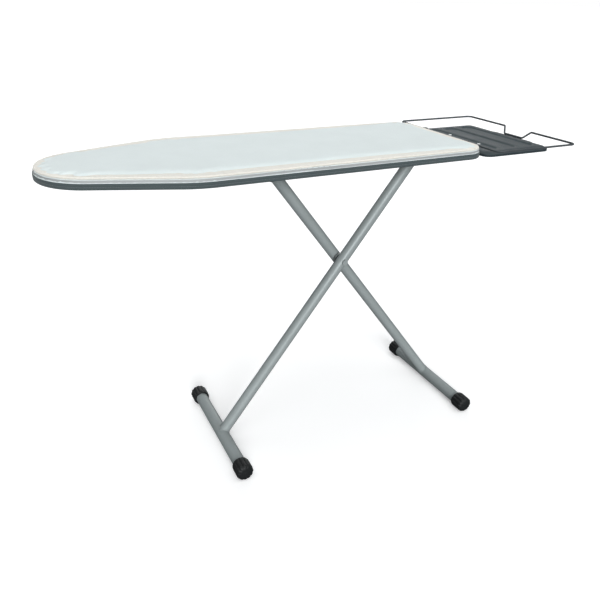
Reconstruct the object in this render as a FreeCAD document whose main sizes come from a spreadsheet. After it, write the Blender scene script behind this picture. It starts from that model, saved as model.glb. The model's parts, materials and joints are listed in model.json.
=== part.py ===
"""Free-standing ironing board on two crossed tube legs, with an iron tray at its heel.

Frame: millimetres, +Z up, +X from the nose towards the iron tray, origin on the floor under
the middle of the whole object. Stations along the board are counted from the nose tip.
"""
import FreeCAD, Part
import math
import os
import Sketcher

doc = FreeCAD.newDocument("ironing_board")

# ---------------------------------------------------------------- driving dimensions

DRIVING = {
    # length of cuts that pass right through whatever they meet
    "through_cut": 600.0,
    # outline of the board, seen from above
    "overall_length": 1536.0,
    "nose_radius": 145.0,
    "nose_centre": 145.0,
    "shoulder_radius": 250.0,
    "shoulder_centre": 392.0,
    "shoulder_half_width": 225.0,
    "heel_radius": 65.0,
    "heel_centre": 1155.0,
    "heel_half_width": 220.0,
    # heights
    "cover_top_level": 950.0,
    "cover_hem_level": 929.3,
    "band_top_level": 929.0,
    "band_bottom_level": 914.0,
    "deck_top_level": 938.0,
    "pivot_level": 878.0,
    "foot_axis_level": 27.0,
    "rib_bottom_level": 927.0,
    "cross_member_level": 924.0,
    # cloth, pad and sheet metal
    "cloth": 2.0,
    "hem_width": 16.0,
    "hem_height": 1.2,
    "pad_height": 8.2,
    "pad_gap": 1.0,
    "layer_gap": 0.3,
    "rim_inset": 2.5,
    "rim_sheet": 1.5,
    "rim_flange": 18.0,
    "rim_lift": 1.5,
    "deck_sheet": 0.8,
    "deck_hole_radius": 24.0,
    "deck_hole_pitch": 64.0,
    "deck_hole_start": 180.0,
    "deck_hole_columns": 16.0,
    "three_abreast_from": 250.0,
    "five_abreast_from": 332.0,
    # ribs and cross members
    "rib_offset": 105.0,
    "rib_half_width": 10.0,
    "rib_sheet": 1.5,
    "rib_start": 262.0,
    "rib_end": 1196.0,
    "cross_member_half_span": 118.0,
    "member_lap": 8.0,
    # legs
    "leg_length": 1072.0,
    "leg_upper_length": 382.5,
    "leg_radius": 17.5,
    "leg_wall": 1.5,
    "leg_offset": 22.5,
    "leg_pivot_station": 1095.0,
    "leg_end_past_pivot": 12.0,
    "plug_disc": 3.0,
    "plug_spigot": 2.0,
    "plug_lap": 1.0,
    "foot_bar_radius": 20.0,
    "foot_bar_wall": 1.5,
    "nose_foot_half_length": 240.0,
    "heel_foot_half_length": 233.0,
    "cap_radius": 27.5,
    "cap_core_radius": 26.0,
    "cap_rib_radius": 5.2,
    "cap_length": 51.0,
    "cap_end_wall": 4.0,
    "cap_rounding": 6.0,
    "cap_collar": 5.0,
    "cap_ribs": 12.0,
    # pins, bushes and cheeks
    "pin_radius": 5.0,
    "running_clearance": 0.05,
    "bush_radius": 7.0,
    "bush_fit": 0.02,
    "bush_half_length": 18.5,
    "head_radius": 9.0,
    "head_height": 3.5,
    "cheek_gap": 19.0,
    "cheek_sheet": 2.5,
    "cheek_half_width": 15.0,
    "cheek_lap": 1.0,
    "cross_pin_slack": 1.0,
    "bracket_half_length": 28.0,
    "bracket_rivet": 16.0,
    "spacer_radius": 14.0,
    "spacer_half_length": 3.9,
    # carriage, guide rod and height lever
    "guide_rod_level": 910.0,
    "guide_rod_radius": 5.0,
    "guide_rod_start": 270.0,
    "guide_rod_end": 700.0,
    "guide_bore_radius": 5.3,
    "hanger_inset": 12.0,
    "hanger_half_length": 9.0,
    "hanger_half_width": 14.0,
    "hanger_web_half": 4.0,
    "hanger_below": 7.5,
    "carriage_half_length": 26.0,
    "carriage_bottom_level": 902.0,
    "carriage_top_level": 920.5,
    "carriage_side": 46.0,
    "slot_half_length": 11.0,
    "slot_half_width": 13.0,
    "slot_run_out": 5.0,
    "lock_plate_sheet": 2.6,
    "lock_plate_half_width": 9.5,
    "lock_plate_half_height": 7.6,
    "lock_plate_hole": 5.6,
    "lock_plate_pitch": 5.0,
    "lock_plate_tilt": 8.0,
    "trunnion_radius": 2.0,
    "trunnion_end": 17.0,
    "trunnion_end_gap": 1.0,
    "yoke_sheet": 1.5,
    "yoke_half_length": 3.8,
    "lever_radius": 4.0,
    "lever_back_set": 18.0,
    "lever_inner_end": -14.5,
    "lever_outer_end": -168.0,
    "lever_end_gap": 1.0,
    "grip_length": 78.0,
    "grip_reach": 58.0,
    "grip_half_height": 5.0,
    "grip_droop": 9.0,
    "grip_set_back": 1.0,
    "hub_half": 8.0,
    "hub_rise": 7.0,
    "spring_wire": 0.7,
    "spring_radius": 5.6,
    "spring_pitch": 2.2,
    "spring_length": 13.0,
    "spring_room_gap": 1.3,
    "spring_room_end": -42.0,
    "spring_room_start": -27.0,
    "spring_end": -41.0,
    # iron tray and its supports
    "tray_start": 1237.5,
    "tray_end": 1493.0,
    "tray_half_width": 192.0,
    "tray_corner_radius": 26.0,
    "tray_bottom_level": 907.5,
    "tray_top_level": 922.0,
    "tray_bevel_width": 14.0,
    "tray_bevel_height": 8.0,
    "tray_sheet": 1.5,
    "pill_half_length": 160.0,
    "pill_radius": 27.5,
    "pill_pitch": 71.0,
    "pill_depth": 4.5,
    "boss_lap": 0.5,
    "notch_gap": 1.0,
    "handle_radius": 5.0,
    "handle_wall": 1.2,
    "handle_offset": 105.0,
    "handle_level": 907.5,
    "handle_start": 1128.0,
    "handle_end": 1517.0,
    "handle_bend": 30.0,
    "clamp_start": 8.0,
    "clamp_end": 40.0,
    "clamp_half_width": 9.0,
    "clamp_below": 7.0,
    "arm_offset": 72.0,
    "arm_half_width": 21.0,
    "arm_start": 1136.0,
    "arm_neck_start": 1188.0,
    "arm_neck_end": 1246.0,
    "arm_end": 1336.0,
    "arm_thickness": 14.0,
    "arm_crank": 15.0,
    "arm_step": 10.0,
    "arm_root": 5.0,
    "arm_tip": 2.0,
    "arm_rivet_near": 34.0,
    "arm_rivet_far": 28.0,
    "rivet_gap": 0.1,
    "guard_radius": 3.0,
    "guard_offset": 248.0,
    "guard_start": 1228.5,
    "guard_end": 1533.0,
    "guard_level": 937.0,
    "guard_bend": 17.0,
    "guard_dip_half_width": 42.0,
    "guard_dip_slope": 20.0,
    "guard_dip_bend": 7.0,
    "clip_half_width": 6.0,
    "clip_half_length": 5.5,
    "clip_below": 8.0,
    "clip_above": 5.0,
    # transport latch
    "latch_station": 760.0,
    "latch_pivot_offset": 52.0,
    "latch_pivot_level": 915.0,
    "latch_half_width": 11.0,
    "latch_sheet": 3.0,
    "latch_strip_half": 1.5,
    "latch_barrel_wall": 2.5,
    "latch_ear_gap": 0.5,
    "latch_ear_sheet": 3.0,
    "latch_ear_half": 6.0,
    "latch_member_half": 16.0,
    "latch_hook_level": 857.0,
    "latch_hook_reach": 24.0,
    "latch_pin_radius": 2.5,
    "rivet_radius": 5.0,
    "rivet_height": 2.0,
    "member_rivet_inset": 4.0,
}

LEG_ANGLE = math.degrees(math.asin(
    (DRIVING["pivot_level"] - DRIVING["foot_axis_level"]) / DRIVING["leg_length"]))
LEG_COS = math.cos(math.radians(LEG_ANGLE))
LEG_SIN = math.sin(math.radians(LEG_ANGLE))
SPREAD = DRIVING["leg_upper_length"] * LEG_COS

DERIVED = {
    "nose_tip": -DRIVING["overall_length"] / 2,
    "leg_top_x": DRIVING["leg_pivot_station"] - DRIVING["overall_length"] / 2,
    "cross_x": DRIVING["leg_pivot_station"] - DRIVING["overall_length"] / 2 - SPREAD,
    "cross_level": DRIVING["pivot_level"] - DRIVING["leg_upper_length"] * LEG_SIN,
    "carriage_x": DRIVING["leg_pivot_station"] - DRIVING["overall_length"] / 2 - 2 * SPREAD,
    "nose_foot_x": DRIVING["leg_pivot_station"] - DRIVING["overall_length"] / 2
    - DRIVING["leg_length"] * LEG_COS,
    "heel_foot_x": DRIVING["leg_pivot_station"] - DRIVING["overall_length"] / 2 - 2 * SPREAD
    + DRIVING["leg_length"] * LEG_COS,
}

sheet = doc.addObject("Spreadsheet::Sheet", "Sizes")
for row, (alias, size) in enumerate({**DRIVING, **DERIVED}.items(), start=1):
    sheet.set(f"A{row}", alias)
    sheet.set(f"B{row}", repr(size))
    sheet.setAlias(f"B{row}", alias)
doc.recompute()

ALIASES = set(DRIVING) | set(DERIVED)
NODES = []


# ---------------------------------------------------------------- formulas and binding

def number(formula):
    """Value of a sum of sheet cells and plain numbers, such as 'pivot_level - 2 + cloth'."""
    total = 0.0
    sign = 1.0
    for word in formula.split():
        if word in ("+", "-"):
            sign = 1.0 if word == "+" else -1.0
        else:
            total += sign * (sheet.get(word) if word in ALIASES else float(word))
            sign = 1.0
    return total


def linked(formula):
    """The same sum as an expression on the spreadsheet."""
    words = [f"Sizes.{word}" if word in ALIASES else word for word in formula.split()]
    expression = " ".join(words)
    return "0 " + expression if expression.startswith("-") or expression.startswith("+") else expression


def bind(item, **formulas):
    """Tie properties of an object to the spreadsheet."""
    for name, formula in formulas.items():
        item.setExpression(name, linked(formula))


def place(item, x="0", y="0", z="0", turn=None):
    """Tie an object's place to the spreadsheet, with a fixed turn if one is given."""
    if turn is not None:
        item.Placement = FreeCAD.Placement(FreeCAD.Vector(), turn)
    for axis, formula in (("x", x), ("y", y), ("z", z)):
        item.setExpression(f"Placement.Base.{axis}", linked(formula))


def node(name, item):
    """Register an object as one sub-part of the ironing board."""
    item.Label = name
    NODES.append(item)
    return item


X_AXIS = FreeCAD.Vector(1, 0, 0)
Y_AXIS = FreeCAD.Vector(0, 1, 0)
ALONG_X = FreeCAD.Rotation(Y_AXIS, 90)
ALONG_Y = FreeCAD.Rotation(X_AXIS, -90)
NOSE_LEG_TURN = FreeCAD.Rotation(Y_AXIS, 180 - LEG_ANGLE)
HEEL_LEG_TURN = FreeCAD.Rotation(Y_AXIS, LEG_ANGLE)


# ---------------------------------------------------------------- primitives

def box(name, low, high):
    """Part::Box between two corners, each three formulas."""
    item = doc.addObject("Part::Box", name)
    sides = [f"{top} - {flipped(bottom)}" for bottom, top in zip(low, high)]
    bind(item, Length=sides[0], Width=sides[1], Height=sides[2])
    place(item, *low)
    return item


def flipped(formula):
    """A sum with every sign after its first word turned round, ready to be subtracted."""
    words = formula.split()
    turned = [{"+": "-", "-": "+"}.get(word, word) for word in words]
    if words[0] == "-":
        return "0 " + " ".join(turned)
    return " ".join(turned)


def rod(name, radius, start, end, x, y, z, turn):
    """Part::Cylinder along X, Y or Z from one formula to another."""
    item = doc.addObject("Part::Cylinder", name)
    bind(item, Radius=radius, Height=f"{end} - {flipped(start)}")
    base = {"x": x, "y": y, "z": z}
    base["x" if turn is ALONG_X else "y" if turn is ALONG_Y else "z"] = start
    place(item, base["x"], base["y"], base["z"], turn)
    return item


def rod_y(name, radius, start, end, x, z):
    return rod(name, radius, start, end, x, "0", z, ALONG_Y)


def rod_x(name, radius, start, end, y, z):
    return rod(name, radius, start, end, "0", y, z, ALONG_X)


def fuse(name, parts):
    item = doc.addObject("Part::MultiFuse", name)
    item.Shapes = parts
    item.Refine = True
    return item


def cut(name, base, tools):
    item = doc.addObject("Part::Cut", name)
    item.Base = base
    item.Tool = tools[0] if len(tools) == 1 else fuse(name + "_tools", tools)
    item.Refine = True
    return item


def group(name, parts):
    """Several separate solids that share one node."""
    item = doc.addObject("Part::Compound", name)
    item.Links = parts
    return item


# ---------------------------------------------------------------- sketches and bodies

def new_body(name):
    return doc.addObject("PartDesign::Body", name)


def new_sketch(body, name, plane, level="0"):
    """Sketch on one of the body's own origin planes, lifted off it by a formula."""
    sketch = body.newObject("Sketcher::SketchObject", name)
    support = [item for item in body.Origin.OriginFeatures if item.Role == plane][0]
    sketch.AttachmentSupport = (support, [""])
    sketch.MapMode = "FlatFace"
    sketch.setExpression("AttachmentOffset.Base.z", linked(level))
    return sketch


def pad(body, sketch, length, both_ways=False):
    item = body.newObject("PartDesign::Pad", sketch.Name + "_pad")
    item.Profile = sketch
    bind(item, Length=length)
    item.Midplane = both_ways
    return item


def pocket(body, sketch, length, towards_normal=True, both_ways=False):
    """Cut a sketch into the body, and make sure that it removed something."""
    doc.recompute()
    before = body.Shape.Volume
    item = body.newObject("PartDesign::Pocket", sketch.Name + "_pocket")
    item.Profile = sketch
    bind(item, Length=length)
    item.Reversed = towards_normal
    item.Midplane = both_ways
    doc.recompute()
    if item.Shape.isNull() or item.Shape.Volume > before - 1e-3:
        raise RuntimeError(f"{item.Name} cuts nothing")
    return item


def fix_point(sketch, geometry, point, x, y):
    """Tie a point of a sketch to two formulas."""
    for kind, formula in (("DistanceX", x), ("DistanceY", y)):
        row = sketch.addConstraint(Sketcher.Constraint(kind, geometry, point, number(formula)))
        sketch.setExpression(f"Constraints[{row}]", linked(formula))


def fix_radius(sketch, geometry, radius):
    row = sketch.addConstraint(Sketcher.Constraint("Radius", geometry, number(radius)))
    sketch.setExpression(f"Constraints[{row}]", linked(radius))


def circle(sketch, x, y, radius):
    centre = FreeCAD.Vector(number(x), number(y), 0)
    normal = FreeCAD.Vector(0, 0, 1)
    geometry = sketch.addGeometry(Part.Circle(centre, normal, number(radius)), False)
    fix_point(sketch, geometry, 3, x, y)
    fix_radius(sketch, geometry, radius)


def polygon(sketch, corners):
    """Closed outline of straight sides through corners that are pairs of formulas."""
    points = [FreeCAD.Vector(number(x), number(y), 0) for x, y in corners]
    sides = []
    for start, end in zip(points, points[1:] + points[:1]):
        sides.append(sketch.addGeometry(Part.LineSegment(start, end), False))
    for side, (x, y) in zip(sides, corners):
        fix_point(sketch, side, 1, x, y)
    for side, following in zip(sides, sides[1:] + sides[:1]):
        sketch.addConstraint(Sketcher.Constraint("Coincident", side, 2, following, 1))


def tangent_angles(corners):
    """Direction of the outward normal of each side, from one corner arc to the next."""
    angles = []
    for first, second in zip(corners, corners[1:] + corners[:1]):
        step = second[0] - first[0]
        lean = math.acos((first[1] - second[1]) / step.Length)
        angles.append(math.atan2(step.y, step.x) - lean)
    return angles


def rounded_loop(sketch, corners):
    """Closed outline of arcs joined by tangent sides, anticlockwise.

    Each corner is a centre x, a centre y and a radius, all formulas.
    """
    values = [(FreeCAD.Vector(number(x), number(y), 0), number(r)) for x, y, r in corners]
    angles = tangent_angles(values)
    arcs = []
    ends = []
    for index, (centre, radius) in enumerate(values):
        start, end = angles[index - 1], angles[index]
        while end < start:
            end += 2 * math.pi
        outline = Part.Circle(centre, FreeCAD.Vector(0, 0, 1), radius)
        arcs.append(sketch.addGeometry(Part.ArcOfCircle(outline, start, end), False))
        ends.append((outline.value(start), outline.value(end)))
    for index, arc in enumerate(arcs):
        following = (index + 1) % len(arcs)
        side = Part.LineSegment(ends[index][1], ends[following][0])
        line = sketch.addGeometry(side, False)
        sketch.addConstraint(Sketcher.Constraint("Tangent", arc, 2, line, 1))
        sketch.addConstraint(Sketcher.Constraint("Tangent", line, 2, arcs[following], 1))
    for arc, (x, y, radius) in zip(arcs, corners):
        fix_point(sketch, arc, 3, x, y)
        fix_radius(sketch, arc, radius)


def board_corners(inset):
    """Corner arcs of the board's outline, drawn in by an inset, anticlockwise from the nose."""
    inward = flipped(inset)
    nose = ("nose_tip + nose_centre", "0", f"nose_radius - {inward}")
    heel_y = "heel_half_width - heel_radius"
    shoulder_y = "shoulder_half_width - shoulder_radius"
    corners = [nose]
    for sign in ("- ", ""):
        row = [("shoulder_centre", shoulder_y, "shoulder_radius"), ("heel_centre", heel_y, "heel_radius")]
        for station, offset, radius in (row if sign else reversed(row)):
            y = "0 - " + flipped(offset) if sign else offset
            corners.append((f"nose_tip + {station}", y, f"{radius} - {inward}"))
    return corners


def board_layer(name, inset, bottom, top):
    """Flat slab with the board's outline."""
    body = new_body(name)
    outline = new_sketch(body, name + "_outline", "XY_Plane", bottom)
    rounded_loop(outline, board_corners(inset))
    pad(body, outline, f"{top} - {flipped(bottom)}")
    return body


def hollow_out(body, name, inset, bottom, depth):
    """Cut the inside of a board layer, upwards from a level."""
    inner = new_sketch(body, name, "XY_Plane", bottom)
    rounded_loop(inner, board_corners(inset))
    pocket(body, inner, depth)


# ---------------------------------------------------------------- swept wires and tubes

def bent_path(points, bend):
    """Straight runs joined by tangent arcs of one radius."""
    corners = [FreeCAD.Vector(*point) for point in points]
    edges = []
    start = corners[0]
    for before, corner, after in zip(corners, corners[1:], corners[2:]):
        back = (before - corner).normalize()
        forth = (after - corner).normalize()
        half = back.getAngle(forth) / 2
        reach = bend / math.tan(half)
        middle = (back + forth).normalize() * (bend / math.sin(half) - bend)
        first, last = corner + back * reach, corner + forth * reach
        edges.append(Part.LineSegment(start, first).toShape())
        edges.append(Part.Arc(first, corner + middle, last).toShape())
        start = last
    edges.append(Part.LineSegment(start, corners[-1]).toShape())
    return Part.Wire(edges)


def bent_rod(name, points, bend, radius):
    """Round rod swept along a bent path."""
    path = bent_path(points, bend)
    direction = FreeCAD.Vector(*points[1]) - FreeCAD.Vector(*points[0])
    section = Part.Wire([Part.makeCircle(radius, FreeCAD.Vector(*points[0]), direction)])
    item = doc.addObject("Part::Feature", name)
    item.Shape = path.makePipeShell([section], True, True)
    return item


# ---------------------------------------------------------------- deck, pad and cover

def make_deck():
    """Rolled steel rim, perforated top sheet and two stiffening ribs."""
    rim = board_layer("deck_rim", "rim_inset", "band_bottom_level + rim_lift",
                      "deck_top_level - deck_sheet")
    hollow_out(rim, "rim_bore", "rim_inset + rim_flange", "band_bottom_level", "through_cut")
    hollow_out(rim, "rim_wall", "rim_inset + rim_sheet", "band_bottom_level + rim_lift + rim_sheet",
               "through_cut")
    node("deck_rim", rim)
    node("deck_mesh", deck_mesh())
    for side, sign in (("right", "0 - "), ("left", "")):
        node(f"deck_rib_{side}", deck_rib(f"deck_rib_{side}", f"{sign}rib_offset"))


def deck_rib(name, offset):
    """Pressed channel along the underside of the deck sheet, open towards the sheet."""
    start, end = "nose_tip + rib_start", "nose_tip + rib_end"
    top = "deck_top_level - deck_sheet"
    blank = box(name + "_blank", (start, f"{offset} - rib_half_width", "rib_bottom_level"),
                (end, f"{offset} + rib_half_width", top))
    inside = box(name + "_inside", (f"{start} + rib_sheet", f"{offset} - rib_half_width + rib_sheet",
                                    "rib_bottom_level + rib_sheet"),
                 (f"{end} - rib_sheet", f"{offset} + rib_half_width - rib_sheet", f"{top} + through_cut"))
    return cut(name, blank, [inside])


def deck_mesh():
    """Thin steel sheet whose rows of vent holes stay inside the rim."""
    body = board_layer("deck_mesh", "rim_inset", "deck_top_level - deck_sheet", "deck_top_level")
    holes = new_sketch(body, "deck_holes", "XY_Plane", "band_bottom_level")
    pitch = number("deck_hole_pitch")
    for column in range(int(number("deck_hole_columns"))):
        station = number("deck_hole_start") + column * pitch
        rows = 1 + (station > number("three_abreast_from")) + (station > number("five_abreast_from"))
        for row in range(-rows + 1, rows):
            x = f"nose_tip + deck_hole_start + {column * pitch}"
            circle(holes, x, f"0 + {row * pitch}" if row >= 0 else f"0 - {-row * pitch}",
                   "deck_hole_radius")
    pocket(body, holes, "through_cut")
    return body


def make_soft_layers():
    """Foam and felt pad, top cloth shell and the grey side band with its hem."""
    lift = "deck_top_level + layer_gap"
    node("pad", board_layer("pad", "cloth + pad_gap", lift, f"{lift} + pad_height"))
    cover = board_layer("cover_top", "0", "cover_hem_level", "cover_top_level")
    roof = "cover_top_level - cloth - layer_gap"
    hollow_out(cover, "cover_inside", "cloth", "cover_hem_level", f"{roof} - cover_hem_level")
    node("cover_top", cover)
    band = board_layer("cover_band", "0", "band_bottom_level", "band_top_level")
    hollow_out(band, "band_mouth", "hem_width", "band_bottom_level", "through_cut")
    hollow_out(band, "band_inside", "cloth", "band_bottom_level + hem_height", "through_cut")
    node("cover_band", band)


def cross_member(name, low_x, high_x):
    """Flat steel strip under both ribs."""
    return box(name, (low_x, "0 - cross_member_half_span", "cross_member_level"),
               (high_x, "cross_member_half_span", "rib_bottom_level"))


def rivet_heads(label, stations):
    """Domed heads under the cross members, one on each rib at each station."""
    heads = []
    for index, station in enumerate(stations):
        for sign in ("0 - ", ""):
            head = doc.addObject("Part::Cylinder", f"{label}_{index}")
            bind(head, Radius="rivet_radius", Height="rivet_height")
            place(head, station, f"{sign}rib_offset", "cross_member_level - rivet_height")
            heads.append(head)
    node(label, group(label, heads))


# ---------------------------------------------------------------- leg pivot and guide rod

def cheeks(name, x, offset, top, half_width):
    """Two upright plates either side of a leg tube, rounded about the pin."""
    parts = []
    for side, low, high in (("a", "0 - cheek_gap - cheek_sheet", "0 - cheek_gap"),
                            ("b", "cheek_gap", "cheek_gap + cheek_sheet")):
        plate = box(f"{name}_{side}", (f"{x} - {half_width}", f"{offset} + {low}", "pivot_level"),
                    (f"{x} + {half_width}", f"{offset} + {high}", top))
        lobe = rod_y(f"{name}_lobe_{side}", half_width, f"{offset} + {low}", f"{offset} + {high}",
                     x, "pivot_level")
        parts += [plate, lobe]
    return parts


def pin_hole(name, x, z="pivot_level", radius="pin_radius + bush_fit"):
    return rod_y(name, radius, "0 - through_cut", "through_cut", x, z)


def headed_pin(name, x, z, offset, half_grip, tail):
    """Round pin across a leg tube with a flat head at one end."""
    face = f"{offset} - {flipped(half_grip)}"
    shank = rod_y(name + "_shank", "pin_radius", f"{face} - head_height",
                  f"{offset} + {half_grip} + {tail}", x, z)
    head = rod_y(name + "_head", "head_radius", f"{face} - head_height", face, x, z)
    node(name, fuse(name, [shank, head]))


def lock_nut(name, x, z, start):
    """Hexagonal nut pressed on the end of a pin."""
    prism = doc.addObject("Part::Prism", name + "_prism")
    prism.Polygon = 6
    bind(prism, Circumradius="head_radius", Height="head_height")
    place(prism, x, start, z, ALONG_Y)
    hole = rod_y(name + "_hole", "pin_radius + bush_fit", "0 - through_cut", "through_cut", x, z)
    node(name, cut(name, prism, [hole]))


def make_leg_pivot():
    """Steel bracket under the deck that carries the top of the nose leg."""
    offset = "0 - leg_offset"
    base = cross_member("pivot_base", "leg_top_x - bracket_half_length",
                        "leg_top_x + bracket_half_length")
    parts = [base] + cheeks("pivot_cheek", "leg_top_x", offset, "cross_member_level", "cheek_half_width")
    bracket = cut("pivot_bracket", fuse("pivot_bracket_blank", parts), [pin_hole("pivot_hole", "leg_top_x")])
    node("pivot_bracket", bracket)
    half_grip = "cheek_gap + cheek_sheet"
    headed_pin("pivot_bolt", "leg_top_x", "pivot_level", offset, half_grip, "head_height")
    lock_nut("pivot_nut", "leg_top_x", "pivot_level", f"{offset} + {half_grip}")


def make_guide_rod():
    """Smooth rod that the carriage slides on, held by two hangers under the ribs."""
    rail = rod_x("guide_rod", "guide_rod_radius", "nose_tip + guide_rod_start",
                 "nose_tip + guide_rod_end", "0", "guide_rod_level")
    node("guide_rod", rail)
    hangers = []
    for index, station in enumerate(("guide_rod_start", "guide_rod_end")):
        middle = f"nose_tip + {station} {'-' if index else '+'} hanger_inset"
        top = cross_member(f"hanger_top_{index}", f"{middle} - hanger_half_length",
                           f"{middle} + hanger_half_length")
        web = box(f"hanger_web_{index}",
                  (f"{middle} - hanger_web_half", "0 - hanger_half_width", "guide_rod_level - hanger_below"),
                  (f"{middle} + hanger_web_half", "hanger_half_width", "cross_member_level"))
        hole = rod_x(f"hanger_hole_{index}", "guide_rod_radius + bush_fit", "0 - through_cut",
                     "through_cut", "0", "guide_rod_level")
        hangers.append(cut(f"hanger_{index}", fuse(f"hanger_blank_{index}", [top, web]), [hole]))
    node("guide_rod_hangers", group("guide_rod_hangers", hangers))


# ---------------------------------------------------------------- legs

def leg_tube(name, offset, start, turn):
    """Round tube in its own frame, X from the top pin to the foot bar, then leaned over."""
    body = new_body(name)
    ring = new_sketch(body, name + "_ring", "YZ_Plane", "0 - leg_end_past_pivot")
    circle(ring, offset, "0", "leg_radius")
    circle(ring, offset, "0", "leg_radius - leg_wall")
    pad(body, ring, "leg_end_past_pivot + leg_length")
    for index, station in enumerate(("0", "leg_upper_length")):
        hole = new_sketch(body, f"{name}_hole_{index}", "XZ_Plane")
        circle(hole, station, "0", "bush_radius")
        pocket(body, hole, "through_cut", both_ways=True)
    saddle = new_sketch(body, name + "_saddle", "XZ_Plane")
    circle(saddle, "leg_length", "0", "foot_bar_radius + bush_fit")
    pocket(body, saddle, "through_cut", both_ways=True)
    place(body, start, "0", "pivot_level", turn)
    node(name, body)


def leg_plug(name, offset, start, turn):
    """Moulded plug that closes the top of a leg tube."""
    body = new_body(name)
    disc = new_sketch(body, name + "_disc", "YZ_Plane", "0 - leg_end_past_pivot - plug_disc")
    circle(disc, offset, "0", "leg_radius")
    pad(body, disc, "plug_disc")
    spigot = new_sketch(body, name + "_spigot", "YZ_Plane", "0 - leg_end_past_pivot - plug_lap")
    circle(spigot, offset, "0", "leg_radius - leg_wall - bush_fit")
    pad(body, spigot, "plug_spigot + plug_lap")
    place(body, start, "0", "pivot_level", turn)
    node(name, body)


def leg_bush(name, offset, x, z):
    """Plastic sleeve through a leg tube, in which a pin turns."""
    outer = rod_y(name + "_outer", "bush_radius - bush_fit", f"{offset} - bush_half_length",
                  f"{offset} + bush_half_length", x, z)
    inner = rod_y(name + "_inner", "pin_radius + running_clearance", "0 - through_cut", "through_cut", x, z)
    node(name, cut(name, outer, [inner]))


def foot_bar(name, x, half_length):
    reach = f"{half_length} - cap_end_wall"
    outer = rod_y(name + "_outer", "foot_bar_radius", f"0 - {flipped(reach)}", reach, x, "foot_axis_level")
    inner = rod_y(name + "_inner", "foot_bar_radius - foot_bar_wall", "0 - through_cut", "through_cut", x,
                  "foot_axis_level")
    node(name, cut(name, outer, [inner]))


def foot_cap(name, x, half_length, turned):
    """Ribbed rubber cap with a narrow flat that rests on the floor."""
    body = new_body(name)
    core = new_sketch(body, name + "_core", "XY_Plane")
    circle(core, "0", "0", "cap_core_radius")
    pad(body, core, "cap_length")
    rib = new_sketch(body, name + "_rib", "XY_Plane", "cap_collar")
    circle(rib, "cap_radius - cap_rib_radius", "0", "cap_rib_radius")
    rib_pad = pad(body, rib, "cap_length - cap_rounding - cap_collar")
    doc.recompute()
    ribs = body.newObject("PartDesign::PolarPattern", name + "_ribs")
    ribs.Originals = [rib_pad]
    ribs.Axis = (core, ["N_Axis"])
    ribs.Angle = 360
    ribs.Occurrences = int(number("cap_ribs"))
    body.Tip = ribs
    bore = new_sketch(body, name + "_bore", "XY_Plane")
    circle(bore, "0", "0", "foot_bar_radius + bush_fit")
    pocket(body, bore, "cap_length - cap_end_wall")
    floor = new_sketch(body, name + "_floor", "XY_Plane")
    side = "" if turned else "0 - "
    low, high = f"{side}foot_axis_level", f"{side}through_cut"
    polygon(floor, [("0 - through_cut", low), ("0 - through_cut", high), ("through_cut", high),
                    ("through_cut", low)])
    pocket(body, floor, "through_cut", both_ways=True)
    start = f"{half_length} - cap_length"
    turn = FreeCAD.Rotation(X_AXIS, -90) if turned else FreeCAD.Rotation(X_AXIS, 90)
    place(body, x, start if turned else f"0 - {flipped(start)}", "foot_axis_level", turn)
    node(name, body)


def make_legs():
    """Both legs, their foot bars, caps, bushes and plugs, and the pin where they cross."""
    legs = (("nose_leg", "0 - leg_offset", "leg_top_x", NOSE_LEG_TURN, "nose_foot_x",
             "nose_foot_half_length"),
            ("heel_leg", "leg_offset", "carriage_x", HEEL_LEG_TURN, "heel_foot_x",
             "heel_foot_half_length"))
    for name, offset, top, turn, foot, half_length in legs:
        leg_tube(f"{name}_tube", offset, top, turn)
        leg_plug(f"{name}_plug", offset, top, turn)
        leg_bush(f"{name}_top_bush", offset, top, "pivot_level")
        leg_bush(f"{name}_cross_bush", offset, "cross_x", "cross_level")
        foot_bar(f"{name}_foot_bar", foot, half_length)
        foot_cap(f"{name}_foot_cap_right", foot, half_length, False)
        foot_cap(f"{name}_foot_cap_left", foot, half_length, True)
    grip = "leg_offset + bush_half_length + cross_pin_slack"
    headed_pin("cross_bolt", "cross_x", "cross_level", "0", grip, "head_height")
    lock_nut("cross_nut", "cross_x", "cross_level", grip)
    ring = rod_y("spacer_outer", "spacer_radius", "0 - spacer_half_length", "spacer_half_length",
                 "cross_x", "cross_level")
    hole = rod_y("spacer_hole", "pin_radius + running_clearance", "0 - through_cut",
                 "through_cut", "cross_x", "cross_level")
    node("cross_spacer", cut("cross_spacer", ring, [hole]))


# ---------------------------------------------------------------- carriage and height lever

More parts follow.
